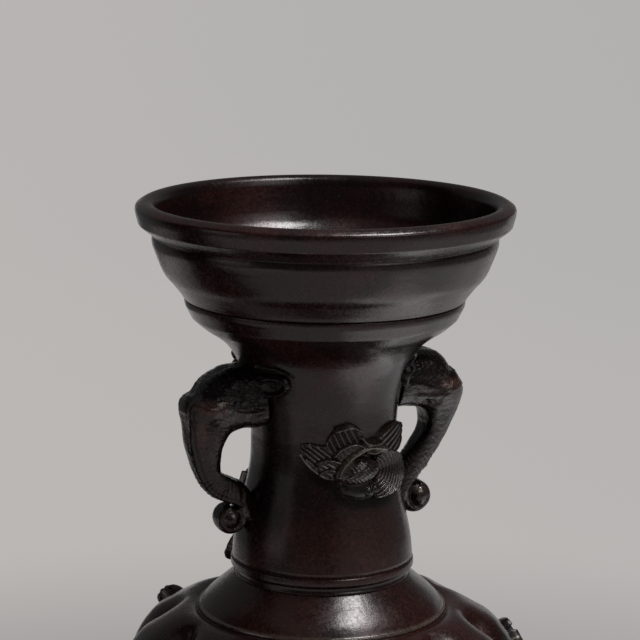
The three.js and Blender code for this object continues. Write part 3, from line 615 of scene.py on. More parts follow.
# Outlines and lines of a bird, from its middle: along the wall, up the wall
BIRD = {
    "outer_feathers": [(-23.6, 9.8), (-20.7, 10.5), (-16.2, 9.9), (-13.2, 9.6), (-9, 6), (-8, 0), (-10.2, -3),
                       (-13.8, -3), (-17, -0.8), (-20.4, 2.2), (-22.6, 5.6)],
    "outer_coverts": [(-16.6, 3.4), (-14, 4.5), (-11.9, 4.6), (-8.6, 3.4), (-8, -1), (-11, -2.4),
                      (-15.8, -0.9)],
    "outer_border": [(-22.7, 6.4), (-20.4, 3), (-17, -0.1), (-13.8, -2.2), (-10.2, -2.4)],
    "outer_fold": [(-15.8, -0.6), (-13.3, 0.9), (-11.3, 0.6), (-9.4, -0.4)],
    "upper_feathers": [(-14, 9.6), (-13.5, 12), (-10.5, 15.8), (-5.3, 17), (-2.4, 15.6), (-0.3, 12.4), (2, 9),
                       (-0.7, 7.6), (-4, 8), (-8, 6.5), (-11, 6.2)],
    "upper_coverts": [(-10.8, 6.3), (-9.1, 8.4), (-6.8, 9.9), (-3.6, 10.5), (-0.7, 9.2), (1, 7.6), (-4, 5),
                      (-8, 2.6)],
    "arm": [(-9.6, -1.6), (-8.9, 0.6), (-7.4, 3.1), (-5.4, 5.4), (-3, 7), (-0.5, 8.3), (2, 8.6), (5.3, 8),
            (8.2, 7.1)],
    "upper_fold": [(-1.6, 12.8), (0.6, 10.4), (3.6, 9.6), (6.4, 9.9)],
    "lower_fold": [(1.2, 6.8), (3.6, 6.2), (6, 6.6), (8.4, 5.6)],
    "belly": [(-9.6, -2.2), (-9.5, -6.3), (-8, -9.2), (-5.2, -10.4), (-1.9, -11), (1.6, -10.9), (4.4, -9.8),
              (4.8, -6.6), (3, -3), (-4, -1)],
    "cheek": [(2.2, 4.1), (4.1, 2.9), (5, 0.8), (4.7, -1.4), (3.5, -3.2), (1.7, -4.7)],
    "eye": (3.1, -0.4),
    "knobs": [(0.8, -8.2), (3.4, -7.6)],
    "raised_wing": [(5.2, 9.9), (7.9, 12), (11.4, 13.9), (15.5, 15), (21, 14.6), (25.4, 12.4), (26.4, 9),
                    (24, 5.6), (17.9, 3.6), (9.6, 5.4), (6, 7)],
    "fan": [(4.6, 4.4), (9.6, 6.2), (16.5, 4.4), (20.4, 1.4), (21.4, -3), (20.2, -7.2), (16, -10),
            (11, -11.2), (4.2, -11.2), (3.6, -6.6), (5.4, -1.9)],
}
# Feathers of the left wing: height, tilt, the barbs' angle, pitch and bow, and how deep they are cut
WING_FEATHERS = {
    "outer_feathers": (2.5, 0.045, -49, 1.6, 0.006, 0.9),
    "outer_coverts": (2.9, 0.04, -32, 1.5, 0, 0.5),
    "upper_feathers": (2.9, 0.04, -65, 2.0, 0, 1.0),
    "upper_coverts": (3.2, 0.04, -50, 1.8, 0, 0.5),
}
# Cords along borders and folds: line, height, half the width
CORDS = [
    (BIRD["outer_border"], 2.6, 0.5),
    (BIRD["outer_fold"], 3.2, 0.5),
    (BIRD["outer_coverts"][:4], 3.3, 0.5),
    (BIRD["upper_coverts"][:5], 3.9, 0.55),
    (BIRD["upper_feathers"][2:5], 3.6, 0.5),
    (BIRD["arm"], 4.5, 1.15),
    (BIRD["upper_fold"], 4.1, 0.7),
    (BIRD["lower_fold"], 4.1, 0.7),
]
BIRD_PITCH = 0.2


def bird_head(spots):
    """The egg-shaped head with its cheek's rim and a ringed eye."""
    x, y = spots[:, 0] + 2.2, spots[:, 1] + 0.5
    along, up = rotate(x, y, math.radians(12))
    reach = np.hypot(along / 7.6, up / 5.1)
    rough = 0.12 * np.sin(x * 3.4 + np.sin(y * 2)) * np.sin(y * 3.1 + x)
    dome = np.where(reach < 1, 1.6 + 4.3 * np.sqrt(np.clip(1 - reach ** 2, 0, 1)) + rough, NO_RELIEF)
    from_cheek, _ = line_distance(spots, smooth(BIRD["cheek"], 30))
    from_eye = distance_from(spots, BIRD["eye"])
    rings = 0.5 * hump(from_eye - 1.25, 0.3) + 0.4 * hump(from_eye, 0.55)
    return dome + (dome > 0) * (rings + 0.5 * hump(from_cheek, 0.4))


def feathers(spots, key, height, tilt, lines, depth, edge=0.6):
    """A pad of feathers: its outline in BIRD, and barbs cut to a depth."""
    rise, inside = pad_rise(spots, BIRD[key], height, edge, tilt)
    return rise + np.where(inside > 0.35, depth * lines, 0)


def bird(name, host, wing_lift, wing_edge):
    """A small bird with open wings, seen from the front, as relief with its feathers cut in.

    wing_lift raises the right wing's tip off the wall and wing_edge is how wide its rounded border is.
    """
    spots, shape = patch_grid(28.4, 18, BIRD_PITCH)
    wing = feathers(spots, "raised_wing", 2.9, -0.03, barbs(spots, 32, 2.4, 0.004), 0.5, wing_edge)
    wing_tip = wing_lift * smoothstep(12, 25, spots[:, 0])
    fan_lines = grooves(distance_from(spots, (3.4, -0.4)) / 1.6)
    belly, _ = pad_rise(spots, BIRD["belly"], 3, 3.4)
    parts = [
        belly,
        bird_head(spots),
        np.where(wing > 0, wing + wing_tip, NO_RELIEF),
        feathers(spots, "fan", 2.9, 0.04, fan_lines, 1.0),
    ]
    parts += [feathers(spots, key, height, tilt, barbs(spots, angle, pitch, bow), depth)
              for key, (height, tilt, angle, pitch, bow, depth) in WING_FEATHERS.items()]
    parts += [cord_rise(spots, *cord) for cord in CORDS]
    for spot in BIRD["knobs"]:
        gap = distance_from(spots, spot)
        parts.append(np.where(gap < 1.7, 4.3 - 0.5 * gap ** 2 + 0.35 * hump(gap - 1.3, 0.3), NO_RELIEF))
    rise = np.maximum(np.max(parts, axis=0), NO_RELIEF)

    bend = ridges(rise, shape, BIRD_PITCH)
    from_arm, _ = line_distance(spots, smooth(BIRD["arm"], 30))
    olive = smoothstep(3.2, 0.6, from_arm) * smoothstep(-9.5, -7, spots[:, 0])
    olive = np.maximum(olive, 0.7 * smoothstep(5, 1, distance_from(spots, (2.5, 9.5))))
    # Painted shade darkens the grooves and the low part of the bird. Its crests get worn bronze and a painted
    # highlight. The arm and a spot above it are olive dust.
    low = smoothstep(0.4, -4, bend) + smoothstep(-3, -6, spots[:, 1]) * (spots[:, 0] < 4.6)
    bare_and_highlight = 0.7 * smoothstep(2.6, 8, bend) * (rise > 0)
    marks = {"bare_and_highlight": bare_and_highlight, "dust": olive, "soot_and_shade": np.clip(low - olive, 0, 1)}
    return relief(name, spots, rise, shape, host, marks)


# Elephant-head handles

# Lines of each handle in its own plane: radius, height
HANDLES = {
    "left": {
        "sign": -1,
        "outer": [(29, 273), (38.7, 272.4), (42.2, 271.3), (46.1, 269.4), (49.1, 266.9), (51.2, 264.3),
                  (53, 263.2), (55.2, 261.1), (56.3, 258.4), (56.4, 255.8), (56, 252), (55.4, 244.8),
                  (53.5, 237.4), (51, 231), (48.1, 226.4), (44.6, 223.3), (40.6, 221.4), (36, 219.5),
                  (32, 214)],
        "inner": [(26, 250), (29.4, 249.2), (33, 249.4), (35.2, 249.3), (38.2, 248.5), (39.8, 247.3),
                  (40.9, 245.4), (41.8, 242.5), (42.1, 240), (42.2, 236.3), (41.9, 233.6), (41.1, 231.7),
                  (39.2, 230.9), (36.5, 230), (33.1, 228.1), (30.4, 225), (28.6, 221), (28.4, 217),
                  (29, 213)],
        "curl": (38.1, 215.3),
        "curl_height": 1.0,
        "notch": (52.2, 263.6),
        "brow": [(57, 255.6), (55.4, 256.6), (53.6, 259.4), (51.6, 261), (49.3, 260.7), (46.4, 261),
                 (43.6, 260), (41.8, 258), (38.4, 257.6), (33.5, 257.4), (29, 256)],
        "fold": [(41.5, 259.6), (37.8, 261.2), (34.9, 261.2), (31, 258.9), (26.5, 259)],
        "eye": (43.2, 265.4),
        "cheek_height": 2.8,
        "jaw": [(41, 259.6), (37.6, 258.4), (34.4, 258.6), (30.6, 260.4)],
        "hollow": [(36, 255.4), (33, 255.6), (30, 256.6), (27.4, 257)],
        "lid_line": [(46.8, 262.4), (44, 262.6), (40.4, 261.8), (36.6, 261.4)],
        "worn": [[(54, 260), (49, 261.2), (43.6, 260.6), (42.6, 257.6), (50, 257.2)],
                 [(53.4, 253.6), (50.4, 254), (49.4, 248), (50.6, 243), (52.4, 246)]],
    },
    "right": {
        "sign": 1,
        "outer": [(29, 273), (38.5, 273.3), (43.3, 272.8), (46.3, 271.2), (48.6, 268.7), (50.4, 266.6),
                  (52.8, 264.8), (54.5, 262.2), (55.7, 260.2), (56.3, 257.6), (56.2, 254.9), (55.3, 250.7),
                  (52.8, 244.5), (49.7, 238.8), (45.5, 232.3), (41.6, 227.2), (38.4, 223.4), (34.5, 219),
                  (32.5, 214)],
        "inner": [(26, 252), (29.9, 252.2), (33, 251.8), (36, 251.5), (38.2, 251), (40.1, 249.1),
                  (40.9, 247.4), (41, 245.4), (40.9, 243.4), (40.1, 241.2), (38.4, 238.8), (36.3, 236.4),
                  (33.4, 233), (31.1, 230.2), (29.4, 227), (28.5, 224), (28.2, 221), (28.4, 217), (29, 213)],
        "curl": (38.3, 216.6),
        "curl_height": 1.2,
        "notch": (50.6, 266.4),
        "brow": [(57, 257.6), (54, 258.6), (51, 258), (48, 257.9), (44, 257.8), (38, 258.8), (33, 259.6),
                 (29, 260)],
        "fold": [(40.5, 258.6), (37, 261), (33.5, 262.2), (29, 262)],
        "eye": (45, 265),
        "cheek_height": 1.9,
        "jaw": [(47.6, 256.8), (43, 256.4), (38, 256.6), (32, 257.6)],
        "hollow": [(45.4, 254.4), (41, 253.8), (36, 254)],
        "lid_line": [(48.4, 262.6), (45.4, 262.8), (42, 262)],
        "worn": [[(52.5, 262), (45.4, 262.6), (44.6, 260), (52.4, 259.6)]],
    },
}
# What both handles share
CHEEK = (48.6, 259)
TRUNK_BUMP = (41.2, 227.8)
# Lines raised or cut on the side of the head: height, half the width
HEAD_LINES = {"jaw": (0.5, 1.1), "hollow": (-0.6, 1.5), "lid_line": (-0.55, 0.55), "fold": (0.4, 1.0)}
# Half the handle's width along it, from the wall round to the curl: share of the length, millimetres
WIDTHS = [(0, 12.5), (0.1, 11.6), (0.2, 10.6), (0.3, 9.4), (0.38, 8), (0.46, 6.8), (0.56, 6), (0.68, 5.4),
          (0.8, 5), (1, 4.4)]

# Where the trunk's curl starts, how far round it winds, and its sizes
CURL_START = math.radians(128)
CURL_TURN = math.radians(315)
CURL_REACH = 5.1
CURL_HALF_WIDTH = 5.2
CURL_TIP = 4.3

# Ears: azimuth from the handle's plane, height of the middle, outline, the fold above, width of the border
EAR_OFFSET = 30.0
EAR_HEIGHT = 267.6
EAR_RIM = [(-9.4, -1.4), (-7.6, 1.9), (-3.6, 4), (1.2, 4.8), (5.2, 4.3), (7.3, 2.2), (6.9, -0.9), (4.1, -3.6),
           (-0.4, -5), (-5, -5), (-8.6, -3.8), (-9.4, -1.4)]
EAR_FOLD = [(-6, 5.8), (-2, 6.7), (2.7, 6.8), (5.8, 6), (8.6, 4.2)]
EAR_BORDER = 1.3

# Size of the voxels that join a handle's parts into one skin
VOXEL = 0.36


def oval_ring(middle, way, half, width, power, steps):
    """A ring round a spot of the handle's plane: an oval whose sides get flatter as power grows.

    half is its half size along way, in the plane, and width is its half size across the plane.
    """
    turn = np.linspace(0, 2 * math.pi, steps, endpoint=False)
    across, sideways = [size * np.sign(wave) * np.abs(wave) ** (2 / power)
                        for size, wave in ((half, np.cos(turn)), (width, np.sin(turn)))]
    spots = middle + across[:, None] * way
    return np.stack([spots[:, 0], sideways, spots[:, 1]], 1)


def loft(name, rings):
    """A closed skin over rings of points, with its ends filled."""
    vertices, count = np.concatenate(rings), len(rings[0])
    first, last = tuple(range(count))[::-1], tuple(range(len(vertices) - count, len(vertices)))
    return make_object(name, vertices, [first] + skin(len(rings), count, closed=False) + [last])


def head_and_trunk(name, shape):
    stations = 96
    outer, inner = smooth(shape["outer"], stations - 1), smooth(shape["inner"], stations - 1)
    share = np.linspace(0, 1, stations)
    widths = np.interp(share, *np.array(WIDTHS).T)
    powers = 2.9 - 0.65 * smoothstep(0.3, 0.55, share)
    rings = []
    for o, i, width, power in zip(outer, inner, widths, powers):
        half = np.linalg.norm(o - i) / 2
        rings.append(oval_ring((o + i) / 2, (o - i) / (2 * half), half, width, power, 36))
    return loft(name, rings)


def ball(name, centre, radii):
    work = bmesh.new()
    bmesh.ops.create_uvsphere(work, u_segments=40, v_segments=24, radius=1)
    for vertex in work.verts:
        vertex.co = Vector(c + k * r for c, k, r in zip(centre, vertex.co, radii)) * MM
    mesh = bpy.data.meshes.new(name)
    work.to_mesh(mesh)
    work.free()
    return add_object(name, mesh)


def curl(name, centre, height):
    """The rolled tip of the trunk: an oval tube that winds round a thick round tip."""
    turn = np.linspace(0, 1, 60)
    angle = CURL_START + turn * CURL_TURN
    reach = CURL_REACH - 1.3 * turn ** 1.2
    centres = np.stack([centre[0] + reach * np.cos(angle),
                        centre[1] + reach * np.sin(angle) * (1 + (height - 1) * (1 - turn * 0.5))], 1)
    halves = 2.5 - 1.2 * smoothstep(0, 0.9, turn)
    widths = CURL_HALF_WIDTH * (0.78 + 0.12 * smoothstep(0.3, 0.9, turn))
    rings = [oval_ring(spot, np.array([-way[1], way[0]]), half, width, 2.1, 28)
             for spot, way, half, width in zip(centres, directions(centres), halves, widths)]
    radii = (CURL_TIP, CURL_HALF_WIDTH * 1.22, CURL_TIP * height)
    return [loft(name, rings), ball(name + "_middle", (centre[0] + 0.4, 0, centre[1] - 0.1), radii)]


def ear(name, side):
    """A folded ear on the neck's wall, on the front (-1) or the back (1) of the handle's plane."""
    spots, shape = patch_grid(10.5, 7.6, 0.26)
    inside = inside_distance(spots, smooth(EAR_RIM, 60))
    open_end = smoothstep(-7, -1, spots[:, 0])
    rolled = open_end * 0.9 * hump(inside - EAR_BORDER, 0.8) - 1.1 * smoothstep(1.9, 3.2, inside) * open_end
    lean = 1.6 * smoothstep(1, -9, spots[:, 0])
    rise = np.where(inside > 0, 1.7 * crown_edge(inside, EAR_BORDER) + rolled + lean, NO_RELIEF)
    from_fold, _ = line_distance(spots, EAR_FOLD)
    rise = np.maximum(rise, 1.1 - 2.4 * (from_fold / EAR_BORDER) ** 2)
    return relief(name, spots, rise, shape, NeckHost(90 + side * EAR_OFFSET, EAR_HEIGHT, side))


def fuse(name, pieces):
    """One skin over several overlapping pieces."""
    work = bmesh.new()
    for piece in pieces:
        work.from_mesh(piece.data)
        bpy.data.objects.remove(piece)
    mesh = bpy.data.meshes.new(name)
    work.to_mesh(mesh)
    work.free()
    joined = add_object(name, mesh)
    remesh = joined.modifiers.new("skin", "REMESH")
    remesh.mode = "VOXEL"
    remesh.voxel_size = VOXEL * MM
    remesh.use_smooth_shade = True
    soften = joined.modifiers.new("soften", "SMOOTH")
    soften.factor = 0.5
    soften.iterations = 3
    evaluated = joined.evaluated_get(bpy.context.evaluated_depsgraph_get())
    joined_skin = bpy.data.meshes.new_from_object(evaluated)
    joined.modifiers.clear()
    joined.data = joined_skin
    shade_smooth(joined_skin)
    return joined


def waves(*terms):
    """A smooth wandering value from a few sines, for uneven hand work."""
    return sum(math.sqrt(0.5) * np.sin(t) for t in terms) / len(terms)


def crest_line(points, line, width):
    """How near points lie to a smooth line, from 1 on it to 0, with a rounded crest."""
    line = smooth(line, 40)
    gap, run = line_distance(points, line)
    length = run_lengths(line)[-1]
    return hump(gap, width) * smoothstep(0, 2.5, run) * smoothstep(length, length - 2.5, run)


class HeadSpots:
    """Where the points of a fused handle lie on the head and the trunk, before the carving moves them.

    from_outer and run are the distance from the outer line and along it, above is the height over the brow,
    and side is 1 on the flanks and 0 on the edges. head and trunk say what is to be carved as which.
    """

    def __init__(self, piece, shape):
        self.points = get_points(piece)
        self.normals = read_triples(piece.data.vertex_normals, "vector")
        self.flat = self.points[:, [0, 2]]
        self.side = smoothstep(0.15, 0.65, np.abs(self.normals[:, 1]))
        self.from_outer, self.run = line_distance(self.flat, smooth(shape["outer"], 160))
        self.cheek_along, self.cheek_up = (self.flat - CHEEK).T
        r, z = self.flat.T
        brow = np.array(shape["brow"])[::-1]
        self.above = z - np.interp(r, brow[:, 0], brow[:, 1])
        off_wall = np.clip(smoothstep(31.5, 35, r) + smoothstep(29, 32, r), 0, 1)
        self.head = smoothstep(-0.6, 1.2, self.above) * off_wall
        self.trunk = smoothstep(0.2, -0.8, self.above) * smoothstep(209, 222, z)


def carve_head(piece, shape, at):
    """Hair, brow, cheek, folds and the trunk's wrinkles, cut into the fused handle."""
    r, y, z = at.points.T
    run, from_outer, side = at.run, at.from_outer, at.side

    crest = hump(y, 3.4) * smoothstep(2.4, 0.6, from_outer)
    hair_phase = from_outer / 1.9 + 0.35 * np.sin(run / 2.3 + y / 2) + 0.2 * np.sin(run / 1.1 + from_outer)
    hair = np.sin(2 * math.pi * hair_phase) * (0.6 + 0.4 * np.sin(run * 1.9 + from_outer * 1.4))
    curls = np.sin(run * 2.4 + from_outer * 1.3) * np.sin(from_outer * 2.1 - run * 0.7)
    shift = at.head * (0.2 + 0.06 * hair + 0.07 * curls + 0.06 * crest * np.sin(run * 2.9))

    from_eye = distance_from(at.flat, shape["eye"])
    lid = hump(from_eye - 2.3, 0.45) * smoothstep(-0.6, 0.9, z - shape["eye"][1])
    shift -= hump(distance_from(at.flat, shape["notch"]), 1.3)
    shift += side * (0.3 * hump(from_eye, 1.5) + 0.22 * lid)
    cheek = hump(at.cheek_along, 5.6) * hump(at.cheek_up, np.where(at.cheek_up > 0, 2.3, 6))
    shift += shape["cheek_height"] * side * cheek
    for key, (height, width) in HEAD_LINES.items():
        shift += height * side * crest_line(at.flat, shape[key], width)

    shift += 0.35 * at.trunk * side * hump(from_outer - 0.9, 0.7)
    bend = smoothstep(236, 231, z) * smoothstep(219, 225, z)
    wrinkle = np.sin(2 * math.pi * (run / 1.9 + 0.06 * from_outer ** 1.5))
    uneven = 0.6 + 0.4 * np.sin(run * 0.83 + y * 0.6)
    shift += at.trunk * uneven * (0.13 * bend * wrinkle + 0.02 * (1 - bend) * np.sin(2 * math.pi * run / 2.3))
    shift += 0.45 * side * hump(distance_from(at.flat, TRUNK_BUMP), 1.3)

    shift += 0.2 * waves(r * 0.9 + z * 0.5, y * 1.1 - z * 0.35, r * 0.35 - y * 0.8 + 2)
    shift += 0.03 * waves(r * 2.3 + z * 1.1, z * 2.6 - y * 1.5, r * 1.4 - z * 2.1 + y)
    set_points(piece, at.points + at.normals * shift[:, None])


def paint_head_stains_and_light(piece, shape, at):
    """Rusty red on the face, soot in the hair, a painted highlight on the cheek and the curl, and painted
    dark edges on the trunk in place of dark reflections.
    """
    worn = 0
    for patch in shape["worn"]:
        worn = np.maximum(worn, smoothstep(-1.6, 1.8, inside_distance(at.flat, patch)) * at.side)
    x, z = (at.flat - shape["curl"]).T
    turn, reach = np.arctan2(z, x), np.hypot(x, z)
    # Painted highlight on the cheek's upper slope, on the top of the curl and as a light crescent round the
    # curl on the wall side.
    painted_highlight = hump(at.cheek_along, 4.6) * hump(at.cheek_up - 1.7, 1.1)
    painted_highlight += 1.3 * hump(turn - 1.7, math.sqrt(0.5)) * hump(reach - 2.2, 1.6)
    painted_highlight += 0.8 * hump(np.abs(turn) - math.pi, math.sqrt(0.7)) * hump(reach - 5.2, 0.6)
    painted_highlight *= at.side
    # The trunk's edges and a thin line near its outer edge are darkened as painted shade, in place of dark
    # reflections. The black above the brow is the head's own patina.
    from_inner, _ = line_distance(at.flat, smooth(shape["inner"], 160))
    edges = smoothstep(1.7, 0.5, at.from_outer) + smoothstep(2.4, 0.4, from_inner) + (1 - at.side)
    edges += 0.8 * hump(at.from_outer - 2.3, 0.35)
    soot_and_shade = np.clip(0.8 * smoothstep(-1, 2.5, at.above) * (1 - worn) + at.trunk * edges, 0, 1)
    soot_and_shade *= 1 - np.clip(painted_highlight, 0, 1)
    for key, values in (("worn", worn), ("bare_and_highlight", painted_highlight), ("soot_and_shade", soot_and_shade)):
        paint(piece, key, values)


def handle(name, shape):
    parts = [head_and_trunk(name + "_core", shape)]
    parts += curl(name + "_curl", shape["curl"], shape["curl_height"])
    parts += [ear(name + "_ear_front", -1), ear(name + "_ear_back", 1)]
    piece = fuse(name, parts)
    at = HeadSpots(piece, shape)
    carve_head(piece, shape, at)
    paint_head_stains_and_light(piece, shape, at)
    if shape["sign"] < 0:
        piece.data.transform(Matrix.Scale(-1, 4, Vector((1, 0, 0))))
        piece.data.flip_normals()
    return piece


# Materials

class Nodes:
    """A material's node tree, with short calls for the nodes used here."""

    def __init__(self, name):
        self.material = bpy.data.materials.new(name)
        self.material.use_nodes = True
        self.tree = self.material.node_tree
        self.tree.nodes.clear()
        self.output = self.add("ShaderNodeOutputMaterial")
        self.shader = self.add("ShaderNodeBsdfPrincipled")
        self.join(self.shader.outputs["BSDF"], self.output.inputs["Surface"])

    def add(self, kind, sockets=None, **settings):
        """A node with its settings, and with values or other nodes' outputs for its sockets."""
        made = self.tree.nodes.new(kind)
        for key, value in settings.items():
            setattr(made, key, value)
        self.fill(made, sockets or {})
        return made

    def fill(self, node, sockets):
        for key, value in sockets.items():
            if isinstance(value, bpy.types.NodeSocket):
                self.join(value, node.inputs[key])
            else:
                node.inputs[key].default_value = value

    def join(self, start, end):
        self.tree.links.new(start, end)

    def math(self, operation, first, second=0.0, clamp=False):
        sockets = {0: first, 1: second}
        return self.add("ShaderNodeMath", sockets, operation=operation, use_clamp=clamp).outputs[0]

    def mix(self, share, first, second):
        sockets = {"Factor": share, "A": first, "B": second}
        return self.add("ShaderNodeMix", sockets, data_type="RGBA").outputs["Result"]

    def ramp(self, value, low, high, to_low=0.0, to_high=1.0):
        sockets = {"Value": value, "From Min": low, "From Max": high, "To Min": to_low, "To Max": to_high}
        return self.add("ShaderNodeMapRange", sockets, interpolation_type="SMOOTHSTEP").outputs["Result"]

    def place(self):
        return self.add("ShaderNodeTexCoord").outputs["Object"]

    def place_parts(self):
        return self.add("ShaderNodeSeparateXYZ", {0: self.place()}).outputs

    def turned_place(self, round_scale, height_scale):
        """Coordinates that run round the axis and up it, so that a pattern can follow the lathe."""
        x, y, z = self.place_parts()
        angle = self.math("ARCTAN2", x, self.math("MULTIPLY", y, -1.0))
        radius = self.math("SQRT", self.math("ADD", self.math("POWER", x, 2.0), self.math("POWER", y, 2.0)))
        scaled = [self.math("MULTIPLY", value, scale)
                  for value, scale in ((angle, round_scale), (z, height_scale), (radius, height_scale))]
        return self.add("ShaderNodeCombineXYZ", dict(enumerate(scaled))).outputs[0]

    def noise(self, where, scale, detail, roughness):
        sockets = {"Vector": where, "Scale": scale, "Detail": detail, "Roughness": roughness}
        return self.add("ShaderNodeTexNoise", sockets).outputs["Fac"]

    def bump(self, height, strength, distance, before=None):
        sockets = {"Height": height, "Strength": strength, "Distance": distance}
        if before is not None:
            sockets["Normal"] = before
        return self.add("ShaderNodeBump", sockets).outputs[0]

    def painted(self, name):
        """The numbers that were painted on the piece under a name."""
        return self.add("ShaderNodeAttribute", attribute_name=name).outputs["Fac"]


DARK_BROWN = (0.015, 0.0045, 0.0036, 1)
RED_BROWN = (0.048, 0.0084, 0.0058, 1)
BLACK_PATINA_AND_SHADE = (0.004, 0.003, 0.003, 1)
WORN_BRONZE_AND_HIGHLIGHT = (0.12, 0.085, 0.066, 1)
RUST_RED = (0.085, 0.026, 0.017, 1)
OLIVE_DUST = (0.12, 0.098, 0.066, 1)
ROUGH_DARK = (0.03, 0.022, 0.016, 1)
ROUGH_LIGHT = (0.09, 0.062, 0.04, 1)
METAL_SHARE = 0.2


def patina(name, roughness, black, dust, grain, lumps, ior, turned=False):
    """Dark red-brown bronze patina: cloudy colour, specks, edges lightened as wear and painted highlight, and
    what is painted on the piece.

    black is how strong the black flecks are, and turned adds the marks of the lathe.
    """
    n = Nodes(name)
    place = n.place()
    cloud = n.noise(place, 38.0, 4.0, 0.5)
    fine = n.noise(place, 760.0, 4.0, 0.6)
    edge = n.add("ShaderNodeNewGeometry").outputs["Pointiness"]
    soot_and_shade, rubbed_and_highlit = n.painted("soot_and_shade"), n.painted("bare_and_highlight")
    # Colour layers: specks of worn bronze; sharp edges lightened as worn bronze and as a painted highlight;
    # black from the soot attribute, which holds soot and painted shade; the bare attribute, which holds worn
    # bronze and painted highlights; rusty red where worn is painted; olive dust in hollows.
    layers = [
        (n.ramp(n.noise(place, 1300.0, 2.0, 0.5), 0.62, 0.74), 0.4, WORN_BRONZE_AND_HIGHLIGHT),
        (n.math("MULTIPLY", n.ramp(edge, 0.53, 0.60), n.ramp(fine, 0.35, 0.6)), 0.8, WORN_BRONZE_AND_HIGHLIGHT),
        (soot_and_shade, 0.75, BLACK_PATINA_AND_SHADE),
        (rubbed_and_highlit, n.ramp(fine, 0.3, 0.6, 0.3, 0.9), WORN_BRONZE_AND_HIGHLIGHT),
        (n.painted("worn"), n.ramp(fine, 0.3, 0.6, 0.25, 0.9), RUST_RED),
    ]
    if dust:
        hollow = n.math("MULTIPLY", n.ramp(edge, 0.49, 0.44), 0.25)
        layers.append((n.math("ADD", hollow, n.painted("dust"), clamp=True),
                       n.ramp(fine, 0.35, 0.65, 0.2, dust), OLIVE_DUST))
    colour = n.mix(n.ramp(cloud, 0.3, 0.76), DARK_BROWN, RED_BROWN)
    colour = n.mix(n.ramp(fine, 0.68, 0.32, 0.0, black), colour, BLACK_PATINA_AND_SHADE)
    for amount, strength, tint in layers:
        colour = n.mix(n.math("MULTIPLY", amount, strength), colour, tint)

    # What is painted as soot and shade lowers the specular level, and what is painted as bare bronze and
    # highlight raises it.
    shine = n.math("ADD", n.ramp(soot_and_shade, 0.0, 1.0, 0.5, 0.25), n.math("MULTIPLY", rubbed_and_highlit, 0.45))
    rough = n.ramp(cloud, 0.3, 0.7, roughness - 0.05, roughness + 0.06)
    rough = n.math("ADD", rough, n.ramp(fine, 0.4, 0.7, -0.03, 0.08))
    rough = n.math("ADD", rough, n.math("MULTIPLY", rubbed_and_highlit, -0.08))
    normal = n.bump(n.noise(place, 160.0, 3.0, 0.5), grain, 0.00035)
    if lumps:
        normal = n.bump(n.noise(place, 620.0, 3.0, 0.55), lumps, 0.0005, normal)
    normal = n.bump(fine, grain, 0.0001, normal)
    normal = n.bump(n.noise(place, 1900.0, 2.0, 0.5), 0.6, 0.00004, normal)
    if turned:
        normal = n.bump(n.noise(n.turned_place(5.0, 900.0), 1.0, 3.0, 0.7), 0.35, 0.00006, normal)
        normal = n.bump(n.noise(n.turned_place(1.5, 260.0), 1.0, 2.0, 0.5), 0.3, 0.00025, normal)
    n.fill(n.shader, {"Base Color": colour, "Metallic": METAL_SHARE, "IOR": ior, "Specular IOR Level": shine,
                      "Roughness": rough, "Normal": normal})
    return n.material


def rough_metal(name):
    """Unpolished bronze inside the foot and on the rivets."""
    n = Nodes(name)
    place = n.place()
    cloud = n.noise(place, 90.0, 6.0, 0.65)
    n.fill(n.shader, {
        "Base Color": n.mix(n.ramp(cloud, 0.35, 0.65), ROUGH_DARK, ROUGH_LIGHT),
        "Metallic": 0.7,
        "Roughness": n.ramp(cloud, 0.3, 0.7, 0.42, 0.6),
        "Normal": n.bump(n.noise(place, 500.0, 5.0, 0.6), 0.5, 0.0002),
    })
    return n.material


def dress(piece, material):
    piece.data.materials.clear()
    piece.data.materials.append(material)


cast_patina = patina("patinated_bronze", 0.24, black=0.55, dust=0, grain=0.3, lumps=0, ior=1.62, turned=True)
handle_patina = patina("worn_bronze", 0.26, black=0.7, dust=0.2, grain=0.6, lumps=0.7, ior=1.6)
bird_patina = patina("ornament_bronze", 0.25, black=0.7, dust=0.9, grain=0.4, lumps=0.25, ior=1.8)
inner_bronze = rough_metal("rough_bronze")


# The pieces on the frame

def finish_piece(piece, node, material):
    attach(piece, "root")
    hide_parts(node)
    dress(piece, material)


def lathe_places(piece):
    """The azimuth in degrees, the radius and the height of each of a casting's points."""
    x, y, z = get_points(piece).T
    return np.degrees(np.arctan2(x, -y)), np.hypot(x, y), z


def shade_cup(piece):
    """Painted shade inside the mouth, weaker on the rear wall, which stays redder, and on the crest of the
    lip, where it dims the highlight.
    """
    azimuth, radius, z = lathe_places(piece)
    from_rear = np.abs((azimuth - 168 + 180) % 360 - 180)
    inside = (z > CUP_BASE) & (z < RIM_TOP - 2) & (radius < np.interp(z, *bowl_line()[::-1, ::-1].T) - 2)
    crest = between(radius, MOUTH_RADIUS - 0.5, MOUTH_RADIUS + 4, 0.5) * (z > RIM_TOP - 4)
    paint(piece, "soot_and_shade", np.maximum((0.3 + 0.5 * smoothstep(10, 42, from_rear)) * inside, 0.8 * crest))


FRONT_BIRD = (7, 236)


